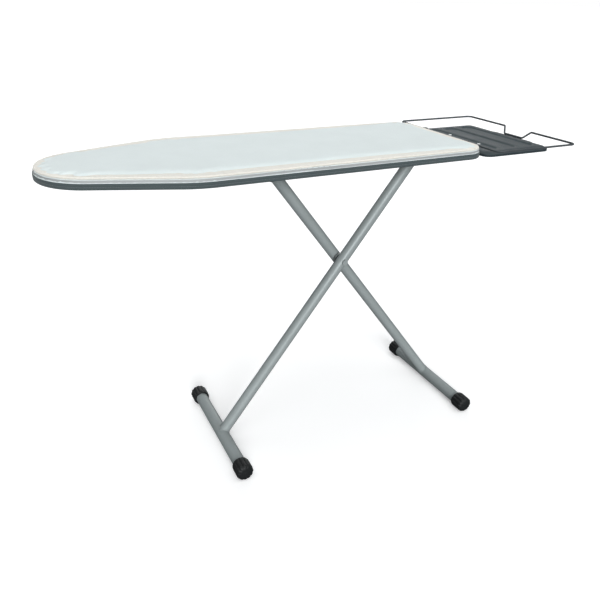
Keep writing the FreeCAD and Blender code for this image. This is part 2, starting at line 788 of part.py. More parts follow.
def make_carriage():
    """Moulded carriage on the guide rod, with cheeks for the top of the heel leg."""
    offset = "leg_offset"
    block = box("carriage_block", ("carriage_x - carriage_half_length", "0 - carriage_side",
                                   "carriage_bottom_level"),
                ("carriage_x + carriage_half_length", "carriage_side", "carriage_top_level"))
    parts = [block] + cheeks("carriage_cheek", "carriage_x", offset, "carriage_bottom_level + cheek_lap",
                             "cheek_half_width")
    slot = box("carriage_slot", ("carriage_x - slot_half_length", "0 - slot_half_width",
                                 "carriage_bottom_level - slot_run_out"),
               ("carriage_x + slot_half_length", "slot_half_width",
                "carriage_top_level + slot_run_out"))
    bore = rod_x("carriage_bore", "guide_bore_radius", "carriage_x - through_cut",
                 "carriage_x + through_cut", "0", "guide_rod_level")
    lever_bore = rod_y("carriage_lever_bore", "lever_radius + running_clearance", "0 - through_cut",
                       "lever_inner_end + lever_end_gap", "carriage_x - lever_back_set", "guide_rod_level")
    spring_room = rod_y("carriage_spring_room", "spring_radius + spring_room_gap", "spring_room_end",
                        "spring_room_start", "carriage_x - lever_back_set", "guide_rod_level")
    trunnion_hole = rod_y("carriage_trunnion_hole", "trunnion_radius + running_clearance",
                          "0 - trunnion_end - trunnion_end_gap", "trunnion_end + trunnion_end_gap",
                          "carriage_x", "guide_rod_level")
    tools = [slot, bore, pin_hole("carriage_pin_hole", "carriage_x"), lever_bore, spring_room,
             trunnion_hole]
    node("carriage", cut("carriage", fuse("carriage_blank", parts), tools))
    half_grip = "cheek_gap + cheek_sheet"
    headed_pin("carriage_pin", "carriage_x", "pivot_level", offset, half_grip, "0")


def make_height_lever():
    """Cross shaft and hand grip that free the lock plates, with its torsion spring."""
    x = "carriage_x - lever_back_set"
    shaft = rod_y("lever_shaft", "lever_radius", "lever_outer_end", "lever_inner_end", x,
                  "guide_rod_level")
    node("lever_shaft", shaft)
    body = new_body("lever_grip")
    inner_end = "0 - lever_outer_end - grip_length - grip_set_back"
    profile = new_sketch(body, "grip_profile", "XZ_Plane", inner_end)
    level = "guide_rod_level"
    polygon(profile, [(f"{x} + hub_half", f"{level} - hub_rise"), (f"{x} + hub_half", f"{level} + hub_rise"),
                      (f"{x} - hub_half", f"{level} + hub_rise"),
                      (f"{x} - grip_reach", f"{level} - grip_droop + grip_half_height"),
                      (f"{x} - grip_reach", f"{level} - grip_droop - grip_half_height"),
                      (f"{x} - hub_half", f"{level} - hub_rise")])
    pad(body, profile, "grip_length")
    doc.recompute()
    bore = new_sketch(body, "grip_bore", "XZ_Plane", inner_end)
    circle(bore, x, level, "lever_radius + bush_fit")
    pocket(body, bore, "through_cut", both_ways=True)
    node("lever_grip", body)
    node("lock_plates", lock_plates())
    node("lever_spring", lever_spring())


def lock_plates():
    """Yoke of two steel plates on trunnions that bites the guide rod while the plates lean."""
    x, z = number("carriage_x"), number("guide_rod_level")
    parts = []
    lean = FreeCAD.Rotation(Y_AXIS, number("lock_plate_tilt"))
    for index, shift in enumerate((-1, 1)):
        plate = Part.makeBox(number("lock_plate_sheet"), 2 * number("lock_plate_half_width"),
                             2 * number("lock_plate_half_height"),
                             FreeCAD.Vector(-number("lock_plate_sheet") / 2,
                                            -number("lock_plate_half_width"),
                                            -number("lock_plate_half_height")))
        hole = Part.makeCylinder(number("lock_plate_hole"), number("through_cut"),
                                 FreeCAD.Vector(-number("through_cut") / 2, 0, 0), X_AXIS)
        item = doc.addObject("Part::Feature", f"lock_plate_{index}")
        item.Shape = plate.cut(hole)
        middle = x + shift * number("lock_plate_pitch") / 2
        item.Placement = FreeCAD.Placement(FreeCAD.Vector(middle, 0, z), lean)
        parts.append(item)
    for index, sign in enumerate(("0 - ", "")):
        low, high = sorted((f"{sign}lock_plate_half_width",
                            f"{sign}lock_plate_half_width {'+' if index == 0 else '-'} yoke_sheet"), key=number)
        parts.append(box(f"yoke_cheek_{index}",
                         ("carriage_x - yoke_half_length", low, "guide_rod_level - yoke_half_length"),
                         ("carriage_x + yoke_half_length", high, "guide_rod_level + yoke_half_length")))
        start, end = sorted((low if index == 0 else high, f"{sign}trunnion_end"), key=number)
        parts.append(rod_y(f"trunnion_{index}", "trunnion_radius", start, end, "carriage_x", "guide_rod_level"))
    return fuse("lock_plates", parts)


def lever_spring():
    """Torsion spring wound round the lever shaft inside the carriage."""
    radius = number("spring_radius")
    helix = Part.makeHelix(number("spring_pitch"), number("spring_length"), radius)
    section = Part.Wire([Part.makeCircle(number("spring_wire"), FreeCAD.Vector(radius, 0, 0), Y_AXIS)])
    item = doc.addObject("Part::Feature", "lever_spring")
    item.Shape = Part.Wire(helix).makePipeShell([section], True, True)
    base = FreeCAD.Vector(number("carriage_x - lever_back_set"), number("spring_end"),
                          number("guide_rod_level"))
    item.Placement = FreeCAD.Placement(base, ALONG_Y)
    return item


# ---------------------------------------------------------------- iron tray and guard

def tray_loop(body, name, level, inset):
    """Rounded rectangle of the tray, drawn in by an inset."""
    outline = new_sketch(body, name, "XY_Plane", level)
    far_x = "nose_tip + tray_end - tray_corner_radius"
    near_x = "nose_tip + tray_start + tray_corner_radius"
    y = "tray_half_width - tray_corner_radius"
    minus_y = f"0 - {flipped(y)}"
    radius = f"tray_corner_radius - {flipped(inset)}"
    rounded_loop(outline, [(far_x, minus_y, radius), (far_x, y, radius),
                           (near_x, y, radius), (near_x, minus_y, radius)])
    return outline


def tray_loft(body, kind, low, high):
    """Bevel between two outlines of the tray, added or cut away."""
    item = body.newObject(kind, low.Name + "_loft")
    item.Profile = low
    item.Sections = [high]
    item.Ruled = True
    doc.recompute()
    return item


def tray_pills(body, name, level, grown):
    """Three oval outlines side by side along the tray."""
    outline = new_sketch(body, name, "XY_Plane", level)
    middle = (number("tray_start") + number("tray_end")) / 2
    reach = "pill_half_length - pill_radius"
    radius = f"pill_radius + {grown}"
    for row in (-1, 0, 1):
        x = f"nose_tip + {middle + row * number('pill_pitch')}"
        rounded_loop(outline, [(x, f"0 - {flipped(reach)}", radius), (x, reach, radius)])
    return outline


def make_tray():
    """Pressed steel tray with a bevelled rim and three shallow oval recesses."""
    body = new_body("rest_tray")
    bevel_level = "tray_top_level - tray_bevel_height"
    foot = tray_loop(body, "tray_foot", "tray_bottom_level", "0")
    pad(body, foot, f"{bevel_level} - tray_bottom_level")
    tray_loft(body, "PartDesign::AdditiveLoft", tray_loop(body, "tray_bevel_low", bevel_level, "0"),
              tray_loop(body, "tray_bevel_high", "tray_top_level", "tray_bevel_width"))
    under = tray_loop(body, "tray_under", "tray_bottom_level", "tray_sheet")
    pocket(body, under, f"{bevel_level} - tray_bottom_level - tray_sheet")
    tray_loft(body, "PartDesign::SubtractiveLoft",
              tray_loop(body, "tray_under_low", f"{bevel_level} - tray_sheet", "tray_sheet"),
              tray_loop(body, "tray_under_high", "tray_top_level - tray_sheet",
                        "tray_bevel_width + tray_sheet"))
    bosses = tray_pills(body, "tray_bosses", "tray_top_level - pill_depth - tray_sheet", "tray_sheet")
    pad(body, bosses, "pill_depth + boss_lap")
    recesses = tray_pills(body, "tray_recesses", "tray_top_level - pill_depth", "0")
    pocket(body, recesses, "through_cut")
    notches = new_sketch(body, "tray_notches", "YZ_Plane", "0")
    for sign in ("0 - ", ""):
        circle(notches, f"{sign}handle_offset", "handle_level", "handle_radius + notch_gap")
    pocket(body, notches, "through_cut + through_cut")
    node("rest_tray", body)


def make_handle():
    """Bent tube under the tray whose end stands out as a carrying handle."""
    start, end = number("nose_tip + handle_start"), number("nose_tip + handle_end")
    offset, level = number("handle_offset"), number("handle_level")
    points = [(start, offset, level), (end, offset, level), (end, -offset, level), (start, -offset, level)]
    tube = bent_rod("handle_outside", points, number("handle_bend"), number("handle_radius"))
    hollow = bent_rod("handle_inside", points, number("handle_bend"), number("handle_radius - handle_wall"))
    node("rest_handle", cut("rest_handle", tube, [hollow]))
    clamps = []
    for index, sign in enumerate(("0 - ", "")):
        y = f"{sign}handle_offset"
        block = box(f"clamp_block_{index}", ("nose_tip + handle_start + clamp_start", f"{y} - clamp_half_width",
                                            "handle_level - clamp_below"),
                    ("nose_tip + handle_start + clamp_end", f"{y} + clamp_half_width", "cross_member_level"))
        hole = rod_x(f"clamp_hole_{index}", "handle_radius + bush_fit", "0 - through_cut", "through_cut",
                     y, "handle_level")
        clamps.append(cut(f"clamp_{index}", block, [hole]))
    node("handle_clamps", group("handle_clamps", clamps))


def rest_arm(name, offset):
    """Cranked moulded arm from the heel cross member to the underside of the tray."""
    body = new_body(name)
    profile = new_sketch(body, name + "_profile", "XZ_Plane", f"{offset}")
    deck_top = "cross_member_level - layer_gap"
    neck_top = "tray_bottom_level - layer_gap"
    tray_top = "tray_top_level - pill_depth - tray_sheet - layer_gap"
    steps = [("arm_start", deck_top), ("arm_neck_start", deck_top), ("arm_neck_start + arm_crank", neck_top),
             ("arm_neck_end", neck_top), ("arm_neck_end + arm_step", tray_top), ("arm_end", tray_top),
             ("arm_end", "tray_bottom_level - arm_tip"),
             ("arm_neck_end + arm_crank", "tray_bottom_level - arm_thickness"),
             ("arm_neck_start + arm_step", "tray_bottom_level - arm_thickness"),
             ("arm_neck_start - arm_step", "tray_bottom_level + arm_root"),
             ("arm_start", "tray_bottom_level + arm_root")]
    polygon(profile, [(f"nose_tip + {station}", level) for station, level in steps])
    pad(body, profile, "arm_half_width + arm_half_width", both_ways=True)
    node(name, body)


def make_supports():
    """Heel cross member and the two arms that carry the tray."""
    member = cross_member("heel_cross_member", "nose_tip + arm_start - member_lap", "nose_tip + arm_neck_start")
    node("heel_cross_member", member)
    rest_arm("rest_arm_right", "arm_offset")
    rest_arm("rest_arm_left", "0 - arm_offset")
    bolts = []
    for index, sign in enumerate(("0 - ", "")):
        for station in ("arm_neck_end + arm_rivet_near", "arm_end - arm_rivet_far"):
            head = doc.addObject("Part::Cylinder", f"arm_bolt_{index}")
            bind(head, Radius="rivet_radius", Height="rivet_height")
            place(head, f"nose_tip + {station}", f"{sign}arm_offset", "tray_top_level - pill_depth + rivet_gap")
            bolts.append(head)
    node("arm_rivets", group("arm_rivets", bolts))


def make_guard():
    """Bent wire that keeps the iron on the tray, and the two clips that hold it."""
    start, end = number("nose_tip + guard_start"), number("nose_tip + guard_end")
    offset, level = number("guard_offset"), number("guard_level")
    dip = number("guard_dip_half_width")
    slope = dip + number("guard_dip_slope")
    rest_x = number("nose_tip + handle_end")
    rest_z = number("handle_level + handle_radius + guard_radius + layer_gap")
    half = [(start, offset, level), (end, offset, level), (end, slope, level), (rest_x, dip, rest_z)]
    other_half = [(x, -y, z) for x, y, z in reversed(half)]
    gap = number("layer_gap")
    points = [(start, gap, level)] + half + other_half + [(start, -gap, level)]
    node("guard_wire", guard_wire(points))
    clips = []
    for index, sign in enumerate(("0 - ", "")):
        y = f"{sign}handle_offset"
        x = "nose_tip + guard_start"
        block = box(f"clip_block_{index}",
                    (f"{x} - clip_half_length", f"{y} - clip_half_width", "handle_level - clip_below"),
                    (f"{x} + clip_half_length", f"{y} + clip_half_width", "guard_level + clip_above"))
        wire_hole = rod_y(f"clip_wire_hole_{index}", "guard_radius + bush_fit", "0 - through_cut",
                          "through_cut", x, "guard_level")
        tube_hole = rod_x(f"clip_tube_hole_{index}", "handle_radius + bush_fit", "0", "through_cut",
                          y, "handle_level")
        clips.append(cut(f"clip_{index}", block, [wire_hole, tube_hole]))
    node("guard_clips", group("guard_clips", clips))


def guard_wire(points):
    """Guard wire: wide bends at the corners of the loop, tight ones at the dip."""
    radius = number("guard_radius")
    wide, tight = number("guard_bend"), number("guard_dip_bend")
    bends = [wide, wide, tight, tight, tight, tight, wide, wide]
    corners = [FreeCAD.Vector(*point) for point in points]
    edges = []
    start = corners[0]
    for before, corner, after, bend in zip(corners, corners[1:], corners[2:], bends):
        run = bent_path([start, corner, (corner + after) * 0.5], bend).Edges
        edges += run[:2]
        start = run[1].Vertexes[-1].Point
    edges.append(Part.LineSegment(start, corners[-1]).toShape())
    section = Part.Wire([Part.makeCircle(radius, corners[0], corners[1] - corners[0])])
    item = doc.addObject("Part::Feature", "guard_wire")
    item.Shape = Part.Wire(edges).makePipeShell([section], True, True)
    return item


# ---------------------------------------------------------------- transport latch

def make_latch():
    """Hook that drops round the nose leg to keep the folded legs shut."""
    x = "nose_tip + latch_station"
    pivot_y = "0 - latch_pivot_offset"
    ears = []
    near, far = "latch_half_width + latch_ear_gap", "latch_half_width + latch_ear_gap + latch_ear_sheet"
    for index, (low, high) in enumerate(((f"0 - {flipped(far)}", f"0 - {flipped(near)}"), (near, far))):
        ears.append(box(f"latch_ear_{index}",
                        (f"{x} + {low}", f"{pivot_y} - latch_ear_half", "latch_pivot_level - latch_ear_half"),
                        (f"{x} + {high}", f"{pivot_y} + latch_ear_half", "cross_member_level")))
    top = cross_member("latch_member", f"{x} - latch_member_half", f"{x} + latch_member_half")
    hole = rod_x("latch_ear_hole", "latch_pin_radius + bush_fit", "0 - through_cut", "through_cut", pivot_y,
                 "latch_pivot_level")
    node("latch_bracket", cut("latch_bracket", fuse("latch_bracket_blank", [top] + ears), [hole]))
    pin_end = f"{far} + latch_ear_gap"
    pin = rod_x("latch_pin", "latch_pin_radius", f"{x} - {flipped(pin_end)}", f"{x} + {pin_end}", pivot_y,
                "latch_pivot_level")
    node("latch_pin", pin)
    barrel = rod_x("latch_barrel", "latch_pin_radius + latch_barrel_wall", f"{x} - latch_half_width",
                   f"{x} + latch_half_width", pivot_y, "latch_pivot_level")
    low_y = f"{pivot_y} - latch_pivot_level + latch_hook_level"
    strip = box("latch_strip", (f"{x} - latch_half_width", low_y, "latch_pivot_level - latch_strip_half"),
                (f"{x} + latch_half_width", pivot_y, "latch_pivot_level + latch_strip_half"))
    lip = box("latch_lip", (f"{x} - latch_half_width", low_y, "latch_pivot_level - latch_hook_reach"),
              (f"{x} + latch_half_width", f"{low_y} + latch_sheet",
               "latch_pivot_level + latch_strip_half"))
    bore = rod_x("latch_bore", "latch_pin_radius + running_clearance", "0 - through_cut", "through_cut",
                 pivot_y, "latch_pivot_level")
    node("latch_hook", cut("latch_hook", fuse("latch_hook_blank", [barrel, strip, lip]), [bore]))


# ---------------------------------------------------------------- build, check and write

def check_document():
    """Stop if any object failed or any sub-part is not a valid solid."""
    for item in doc.Objects:
        if "Invalid" in item.State or "Error" in item.State:
            raise RuntimeError(f"{item.Label} failed: {item.State}")
    for item in NODES:
        if item.Shape.isNull() or not item.Shape.isValid() or not item.Shape.Solids:
            raise RuntimeError(f"{item.Label} is not a valid solid")


def write_parts():
    """Write each sub-part to its own file and print its box and volume."""
    os.makedirs("parts", exist_ok=True)
    for item in NODES:
        size = item.Shape.BoundBox
        print(f"{item.Label:28s} solids {len(item.Shape.Solids):2d} volume {item.Shape.Volume:12.1f}"
              f"  x {size.XMin:7.1f} {size.XMax:7.1f}  y {size.YMin:7.1f} {size.YMax:7.1f}"
              f"  z {size.ZMin:6.1f} {size.ZMax:6.1f}")
        item.Shape.exportStep(f"parts/{item.Label}.step")


make_deck()
make_soft_layers()
make_leg_pivot()
make_guide_rod()
make_legs()
make_carriage()
make_height_lever()
make_tray()
make_handle()
make_supports()
make_guard()
make_latch()
rivet_heads("member_rivets", ["leg_top_x - bracket_rivet", "leg_top_x + bracket_rivet",
                              "nose_tip + guide_rod_start + hanger_inset",
                              "nose_tip + guide_rod_end - hanger_inset", "nose_tip + latch_station",
                              "nose_tip + arm_neck_start - member_rivet_inset"])
doc.recompute()
check_document()
write_parts()
print("leg angle", LEG_ANGLE, "nodes", len(NODES))
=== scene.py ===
# %% [markdown]
# # A folding ironing board
#
# The board is a padded, cloth-covered deck on two crossed tube legs, with a pressed iron tray and
# a wire guard at its heel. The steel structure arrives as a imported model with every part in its
# place. This lesson adds what a maker sees and touches: the cloth cover with its sewn side band,
# the felt under it, the expanded steel mesh, the pressed tray, the ribbed rubber feet and the
# weld beads, and then a finish for every part.

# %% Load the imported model
import json
import math

import bmesh
import bpy
import numpy as np
from mathutils import Matrix, Vector, kdtree


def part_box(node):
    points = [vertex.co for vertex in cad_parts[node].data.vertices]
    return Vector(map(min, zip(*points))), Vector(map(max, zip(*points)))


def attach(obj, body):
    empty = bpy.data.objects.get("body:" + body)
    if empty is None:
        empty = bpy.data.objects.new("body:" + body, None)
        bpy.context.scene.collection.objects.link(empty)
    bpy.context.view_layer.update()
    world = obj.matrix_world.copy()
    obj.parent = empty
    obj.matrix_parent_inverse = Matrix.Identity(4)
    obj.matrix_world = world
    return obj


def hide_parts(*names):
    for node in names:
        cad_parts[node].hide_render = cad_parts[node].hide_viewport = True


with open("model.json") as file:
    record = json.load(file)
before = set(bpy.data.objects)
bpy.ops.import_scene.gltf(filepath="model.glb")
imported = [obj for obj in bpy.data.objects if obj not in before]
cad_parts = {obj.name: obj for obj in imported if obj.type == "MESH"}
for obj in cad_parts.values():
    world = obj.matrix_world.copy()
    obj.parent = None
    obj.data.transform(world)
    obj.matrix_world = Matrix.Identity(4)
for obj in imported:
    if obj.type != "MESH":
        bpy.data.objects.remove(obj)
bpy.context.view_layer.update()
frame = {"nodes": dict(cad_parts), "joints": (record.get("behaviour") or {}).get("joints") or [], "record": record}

nodes = frame["nodes"]

# %% [markdown]
# ## Places taken from the model
#
# Every piece is placed from the box of the part it covers, so its ends and heights follow the
# model. The board's outline is a chain of five arcs: one at the nose, two shoulders and two heel
# corners, with straight tangents between them. Their radii are given below, and the same arcs
# drawn in by an inset give every layer.

# %% Named places and the board's arcs
MM = 0.001
cover_low, cover_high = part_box("cover_top")
band_low, band_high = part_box("cover_band")
tray_low, tray_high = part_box("rest_tray")
NOSE_X = cover_low[0]
BOARD_TOP = cover_high[2]
SEAM_Z = band_high[2]
BAND_BOTTOM = band_low[2]
DECK_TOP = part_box("deck_mesh")[1][2]

NOSE_RADIUS = 145 * MM
SHOULDER_RADIUS = 250 * MM
SHOULDER_STATION = 392 * MM
HEEL_RADIUS = 65 * MM
HEEL_HALF_WIDTH = 220 * MM
board_length = cover_high[0] - NOSE_X
half_width = cover_high[1]
BOARD_ARCS = [
    (NOSE_X + NOSE_RADIUS, 0.0, NOSE_RADIUS),
    (NOSE_X + SHOULDER_STATION, SHOULDER_RADIUS - half_width, SHOULDER_RADIUS),
    (NOSE_X + board_length - HEEL_RADIUS, HEEL_RADIUS - HEEL_HALF_WIDTH, HEEL_RADIUS),
    (NOSE_X + board_length - HEEL_RADIUS, HEEL_HALF_WIDTH - HEEL_RADIUS, HEEL_RADIUS),
    (NOSE_X + SHOULDER_STATION, half_width - SHOULDER_RADIUS, SHOULDER_RADIUS),
]
print("surface length and width:", round(board_length, 3), round(2 * half_width, 3))


# %% Outline of the board as evenly spaced points
ARC_STEPS = 60
EDGE_COUNT = 1520


def tangent_normals(arcs):
    """Angle of the outward normal of the straight side after each arc."""
    angles = []
    for (x0, y0, r0), (x1, y1, r1) in zip(arcs, arcs[1:] + arcs[:1]):
        span = math.hypot(x1 - x0, y1 - y0)
        angles.append(math.atan2(y1 - y0, x1 - x0) - math.acos((r0 - r1) / span))
    return angles


def outline(arcs, inset, count):
    """Points and outward normals along the arcs, drawn in by an inset, evenly spaced."""
    angles = tangent_normals(arcs)
    trail = []
    for index, (x, y, radius) in enumerate(arcs):
        start = angles[index - 1]
        sweep = (angles[index] - start) % (2 * math.pi)
        for step in np.linspace(start, start + sweep, ARC_STEPS):
            normal = (math.cos(step), math.sin(step))
            reach = radius - inset
            trail.append((x + reach * normal[0], y + reach * normal[1], *normal))
    trail = np.array(trail + trail[:1])
    lengths = np.hypot(*np.diff(trail[:, :2], axis=0).T)
    travelled = np.concatenate([[0.0], np.cumsum(lengths)])
    wanted = np.linspace(0.0, travelled[-1], count, endpoint=False)
    columns = [np.interp(wanted, travelled, trail[:, column]) for column in range(4)]
    return np.stack(columns, axis=1), travelled[-1]


edge_points, edge_length = outline(BOARD_ARCS, 0.0, EDGE_COUNT)
print("edge length:", round(edge_length, 3))

# %% [markdown]
# ## Helpers for meshes
#
# Most pieces here are closed rings of points joined row by row, as a lofted shell is. One helper
# joins the rings, one makes the object and tells the frame which body it rides on, and one turns
# a modifier's result into a plain mesh.


# %% Mesh helpers
def join_rings(rings, closed=True):
    """Vertices and quads of rings of equal length, each joined to the next."""
    count = len(rings[0])
    vertices = [tuple(point) for ring in rings for point in ring]
    faces = []
    last = count if closed else count - 1
    for row in range(len(rings) - 1):
        for column in range(last):
            following = (column + 1) % count
            low, high = row * count, (row + 1) * count
            faces.append((low + column, low + following, high + following, high + column))
    return vertices, faces


def close_ends(vertices, faces, count):
    """Add a face over the first ring and one over the last."""
    faces.append(tuple(reversed(range(count))))
    faces.append(tuple(range(len(vertices) - count, len(vertices))))


def make_object(name, vertices, faces):
    """Smooth-shaded mesh object in the shared frame."""
    mesh = bpy.data.meshes.new(name)
    mesh.from_pydata(vertices, [], faces)
    mesh.validate()
    mesh.shade_smooth()
    piece = bpy.data.objects.new(name, mesh)
    bpy.context.scene.collection.objects.link(piece)
    return piece


def finish_piece(piece, body, material, slot, *stands_for):
    """Give a piece its finish, its body and the part that it stands for."""
    piece.data.materials.clear()
    piece.data.materials.append(material)
    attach(piece, body)
    if stands_for:
        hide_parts(*stands_for)
    print(piece.name, "faces:", len(piece.data.polygons))
    return piece


def bake_modifiers(piece):
    """Replace the mesh by the modifiers' result and drop the modifiers."""
    graph = bpy.context.evaluated_depsgraph_get()
    result = bpy.data.meshes.new_from_object(piece.evaluated_get(graph), depsgraph=graph)
    piece.modifiers.clear()
    piece.data = result
    result.shade_smooth()


def even_quads(piece, size):
    """Remesh a closed shell to even quads of a size."""
    voxels = piece.modifiers.new("even_quads", "REMESH")
    voxels.mode = "VOXEL"
    voxels.voxel_size = size
    bake_modifiers(piece)


def thicken(piece, thickness):
    """Give a single surface its thickness, inwards."""
    shell = piece.modifiers.new("thickness", "SOLIDIFY")
    shell.thickness = thickness
    shell.offset = -1.0
    bake_modifiers(piece)


def read_points(mesh):
    """All points of a mesh, one per row."""
    points = np.empty(len(mesh.vertices) * 3)
    mesh.vertices.foreach_get("co", points)
    return points.reshape(-1, 3)


def write_points(mesh, points):
    """Move all points of a mesh."""
    mesh.vertices.foreach_set("co", np.asarray(points, dtype=float).ravel())
    mesh.update()


def add_cloth_map(mesh, coordinates):
    """UV layer in metres of cloth, so that a weave keeps its size on every side."""
    layer = mesh.uv_layers.new(name="cloth")
    corners = np.empty(len(mesh.loops), dtype=int)
    mesh.loops.foreach_get("vertex_index", corners)
    layer.data.foreach_set("uv", np.asarray(coordinates)[corners].ravel())


def tube_along(path, radii, sides, closed=True):
    """Rings of a round tube about a path of points, with a radius at each point."""
    count = len(path)
    rings = []
    up = Vector((0.0, 0.0, 1.0))
    for index, point in enumerate(path):
        before = path[index - 1] if closed or index else path[index]
        after = path[(index + 1) % count] if closed or index < count - 1 else path[index]
        forward = (after - before).normalized()
        side = forward.cross(up)
        side = side.normalized() if side.length > 1e-6 else Vector((1.0, 0.0, 0.0))
        rise = side.cross(forward)
        ring = []
        for step in range(sides):
            angle = 2 * math.pi * step / sides
            ring.append(point + (side * math.cos(angle) + rise * math.sin(angle)) * radii[index])
        rings.append(ring)
        up = rise
    return rings + rings[:1] if closed else rings


# %% [markdown]
# ## Shared surface effects
#
# Real finishes share a few effects: woven threads, the fine orange peel of baked powder paint,
# dust on what faces up, and wear on exposed edges. Each is built once as a node group with named
# inputs and outputs and puts out only masks, colours and heights. The shader itself stays in
# each material, where its own constants are set on its own sockets.


# %% Helpers for node groups
def new_group(name, inputs, outputs):
    """Empty shader node group with float, vector or colour sockets."""
    group = bpy.data.node_groups.new(name, "ShaderNodeTree")
    for title, kind, value in inputs:
        socket = group.interface.new_socket(title, in_out="INPUT", socket_type=kind)
        if value is not None:
            socket.default_value = value
    for title, kind in outputs:
        group.interface.new_socket(title, in_out="OUTPUT", socket_type=kind)
    return group, group.nodes.new("NodeGroupInput"), group.nodes.new("NodeGroupOutput")


def math_node(tree, operation, first, second=None, clamp=False):
    """Math node whose inputs are numbers or sockets; returns its output socket."""
    item = tree.nodes.new("ShaderNodeMath")
    item.operation = operation
    item.use_clamp = clamp
    for socket, value in zip(item.inputs, (first, second)):
        if value is None:
            continue
        if isinstance(value, bpy.types.NodeSocket):
            tree.links.new(value, socket)
        else:
            socket.default_value = value
    return item.outputs[0]


def noise_node(tree, vector, scale, detail=3.0, roughness=0.5):
    """Noise at a place; returns its value."""
    item = tree.nodes.new("ShaderNodeTexNoise")
    tree.links.new(vector, item.inputs["Vector"])
    for title, value in (("Scale", scale), ("Detail", detail), ("Roughness", roughness)):
        if isinstance(value, bpy.types.NodeSocket):
            tree.links.new(value, item.inputs[title])
        else:
            item.inputs[title].default_value = value
    return item.outputs["Fac"]


def remap(tree, value, low, high, to_low, to_high):
    """Value stretched from one range to another and held within it."""
    item = tree.nodes.new("ShaderNodeMapRange")
    tree.links.new(value, item.inputs["Value"])
    ranges = {"From Min": low, "From Max": high, "To Min": to_low, "To Max": to_high}
    for title, number in ranges.items():
        item.inputs[title].default_value = number
    return item.outputs["Result"]


def spread_noise(tree, noise, to_low, to_high):
    """Noise, which mostly lies between 0.3 and 0.7, spread over a range."""
    return remap(tree, noise, 0.3, 0.7, to_low, to_high)


def mix_colours(tree, factor, first, second):
    """Colour mix whose colours are sockets or tuples."""
    item = tree.nodes.new("ShaderNodeMix")
    item.data_type = "RGBA"
    chosen = [socket for socket in item.inputs if socket.enabled]
    for socket, value in zip(chosen, (factor, first, second)):
        if isinstance(value, bpy.types.NodeSocket):
            tree.links.new(value, socket)
        else:
            socket.default_value = value
    return [socket for socket in item.outputs if socket.enabled][0]


# %% Woven threads
CROSSING = 0.6
UNDER_HEIGHT = 0.35
SLUB_SCALE = 700.0
BLOTCH_SCALE = 9.0


def woven_threads():
    """Plain weave: warp and weft threads that pass over each other in turn, with slubs."""
    group, given, result = new_group(
        "woven_threads",
        [("Cloth", "NodeSocketVector", None), ("Thread", "NodeSocketFloat", 0.0006),
         ("Slub", "NodeSocketFloat", 0.35)],
        [("Height", "NodeSocketFloat"), ("Shade", "NodeSocketFloat"), ("Blotch", "NodeSocketFloat")])
    split = group.nodes.new("ShaderNodeSeparateXYZ")
    group.links.new(given.outputs["Cloth"], split.inputs[0])
    turns = math_node(group, "DIVIDE", math.pi, given.outputs["Thread"])
    across = math_node(group, "MULTIPLY", split.outputs["X"], turns)
    along = math_node(group, "MULTIPLY", split.outputs["Y"], turns)
    warp = math_node(group, "ABSOLUTE", math_node(group, "SINE", across))
    weft = math_node(group, "ABSOLUTE", math_node(group, "SINE", along))
    half_across = math_node(group, "SINE", math_node(group, "MULTIPLY", across, 0.5))
    half_along = math_node(group, "SINE", math_node(group, "MULTIPLY", along, 0.5))
    over = math_node(group, "MULTIPLY", half_across, half_along)
    lift = remap(group, over, -CROSSING, CROSSING, UNDER_HEIGHT, 1.0)
    drop = remap(group, over, -CROSSING, CROSSING, 1.0, UNDER_HEIGHT)
    height = math_node(group, "MAXIMUM", math_node(group, "MULTIPLY", warp, lift),
                       math_node(group, "MULTIPLY", weft, drop))
    slub = noise_node(group, given.outputs["Cloth"], SLUB_SCALE, detail=2.0)
    uneven = math_node(group, "MULTIPLY", math_node(group, "SUBTRACT", slub, 0.5), given.outputs["Slub"])
    group.links.new(math_node(group, "ADD", height, uneven), result.inputs["Height"])
    # Shade: the mask for a painted shade in the valleys between the threads
    group.links.new(remap(group, height, 0.2, 1.0, 0.0, 1.0), result.inputs["Shade"])
    blotch = noise_node(group, given.outputs["Cloth"], BLOTCH_SCALE, detail=5.0, roughness=0.6)
    group.links.new(blotch, result.inputs["Blotch"])
    return group


# %% Powder paint
FINER_GRAIN = 3.1
FINE_SHARE = 0.35
FLAKE_SCALE = 2600.0
CLOUD_SCALE = 14.0


def powder_paint():
    """Orange peel of baked powder paint, with its metallic flake and cloudy thickness."""
    group, given, result = new_group(
        "powder_paint",
        [("Place", "NodeSocketVector", None), ("Grain", "NodeSocketFloat", 900.0)],
        [("Height", "NodeSocketFloat"), ("Flake", "NodeSocketFloat"), ("Cloud", "NodeSocketFloat")])
    place = given.outputs["Place"]
    peel = noise_node(group, place, given.outputs["Grain"], detail=2.0, roughness=0.4)
    finer = math_node(group, "MULTIPLY", given.outputs["Grain"], FINER_GRAIN)
    fine = noise_node(group, place, finer, detail=1.0)
    height = math_node(group, "ADD", peel, math_node(group, "MULTIPLY", fine, FINE_SHARE))
    # Flake: spots that serve as the mask of a painted glint
    flake = group.nodes.new("ShaderNodeTexVoronoi")
    group.links.new(place, flake.inputs["Vector"])
    flake.inputs["Scale"].default_value = FLAKE_SCALE
    group.links.new(height, result.inputs["Height"])
    group.links.new(remap(group, flake.outputs["Distance"], 0.0, 0.6, 1.0, 0.0), result.inputs["Flake"])
    cloud = noise_node(group, place, CLOUD_SCALE, detail=4.0, roughness=0.55)
    group.links.new(cloud, result.inputs["Cloud"])
    return group


# %% Edge wear and dust
FLAT_ALIGNMENT = 0.995
SHARP_ALIGNMENT = 0.90
WEAR_SCALE = 120.0
DUST_SCALE = 45.0


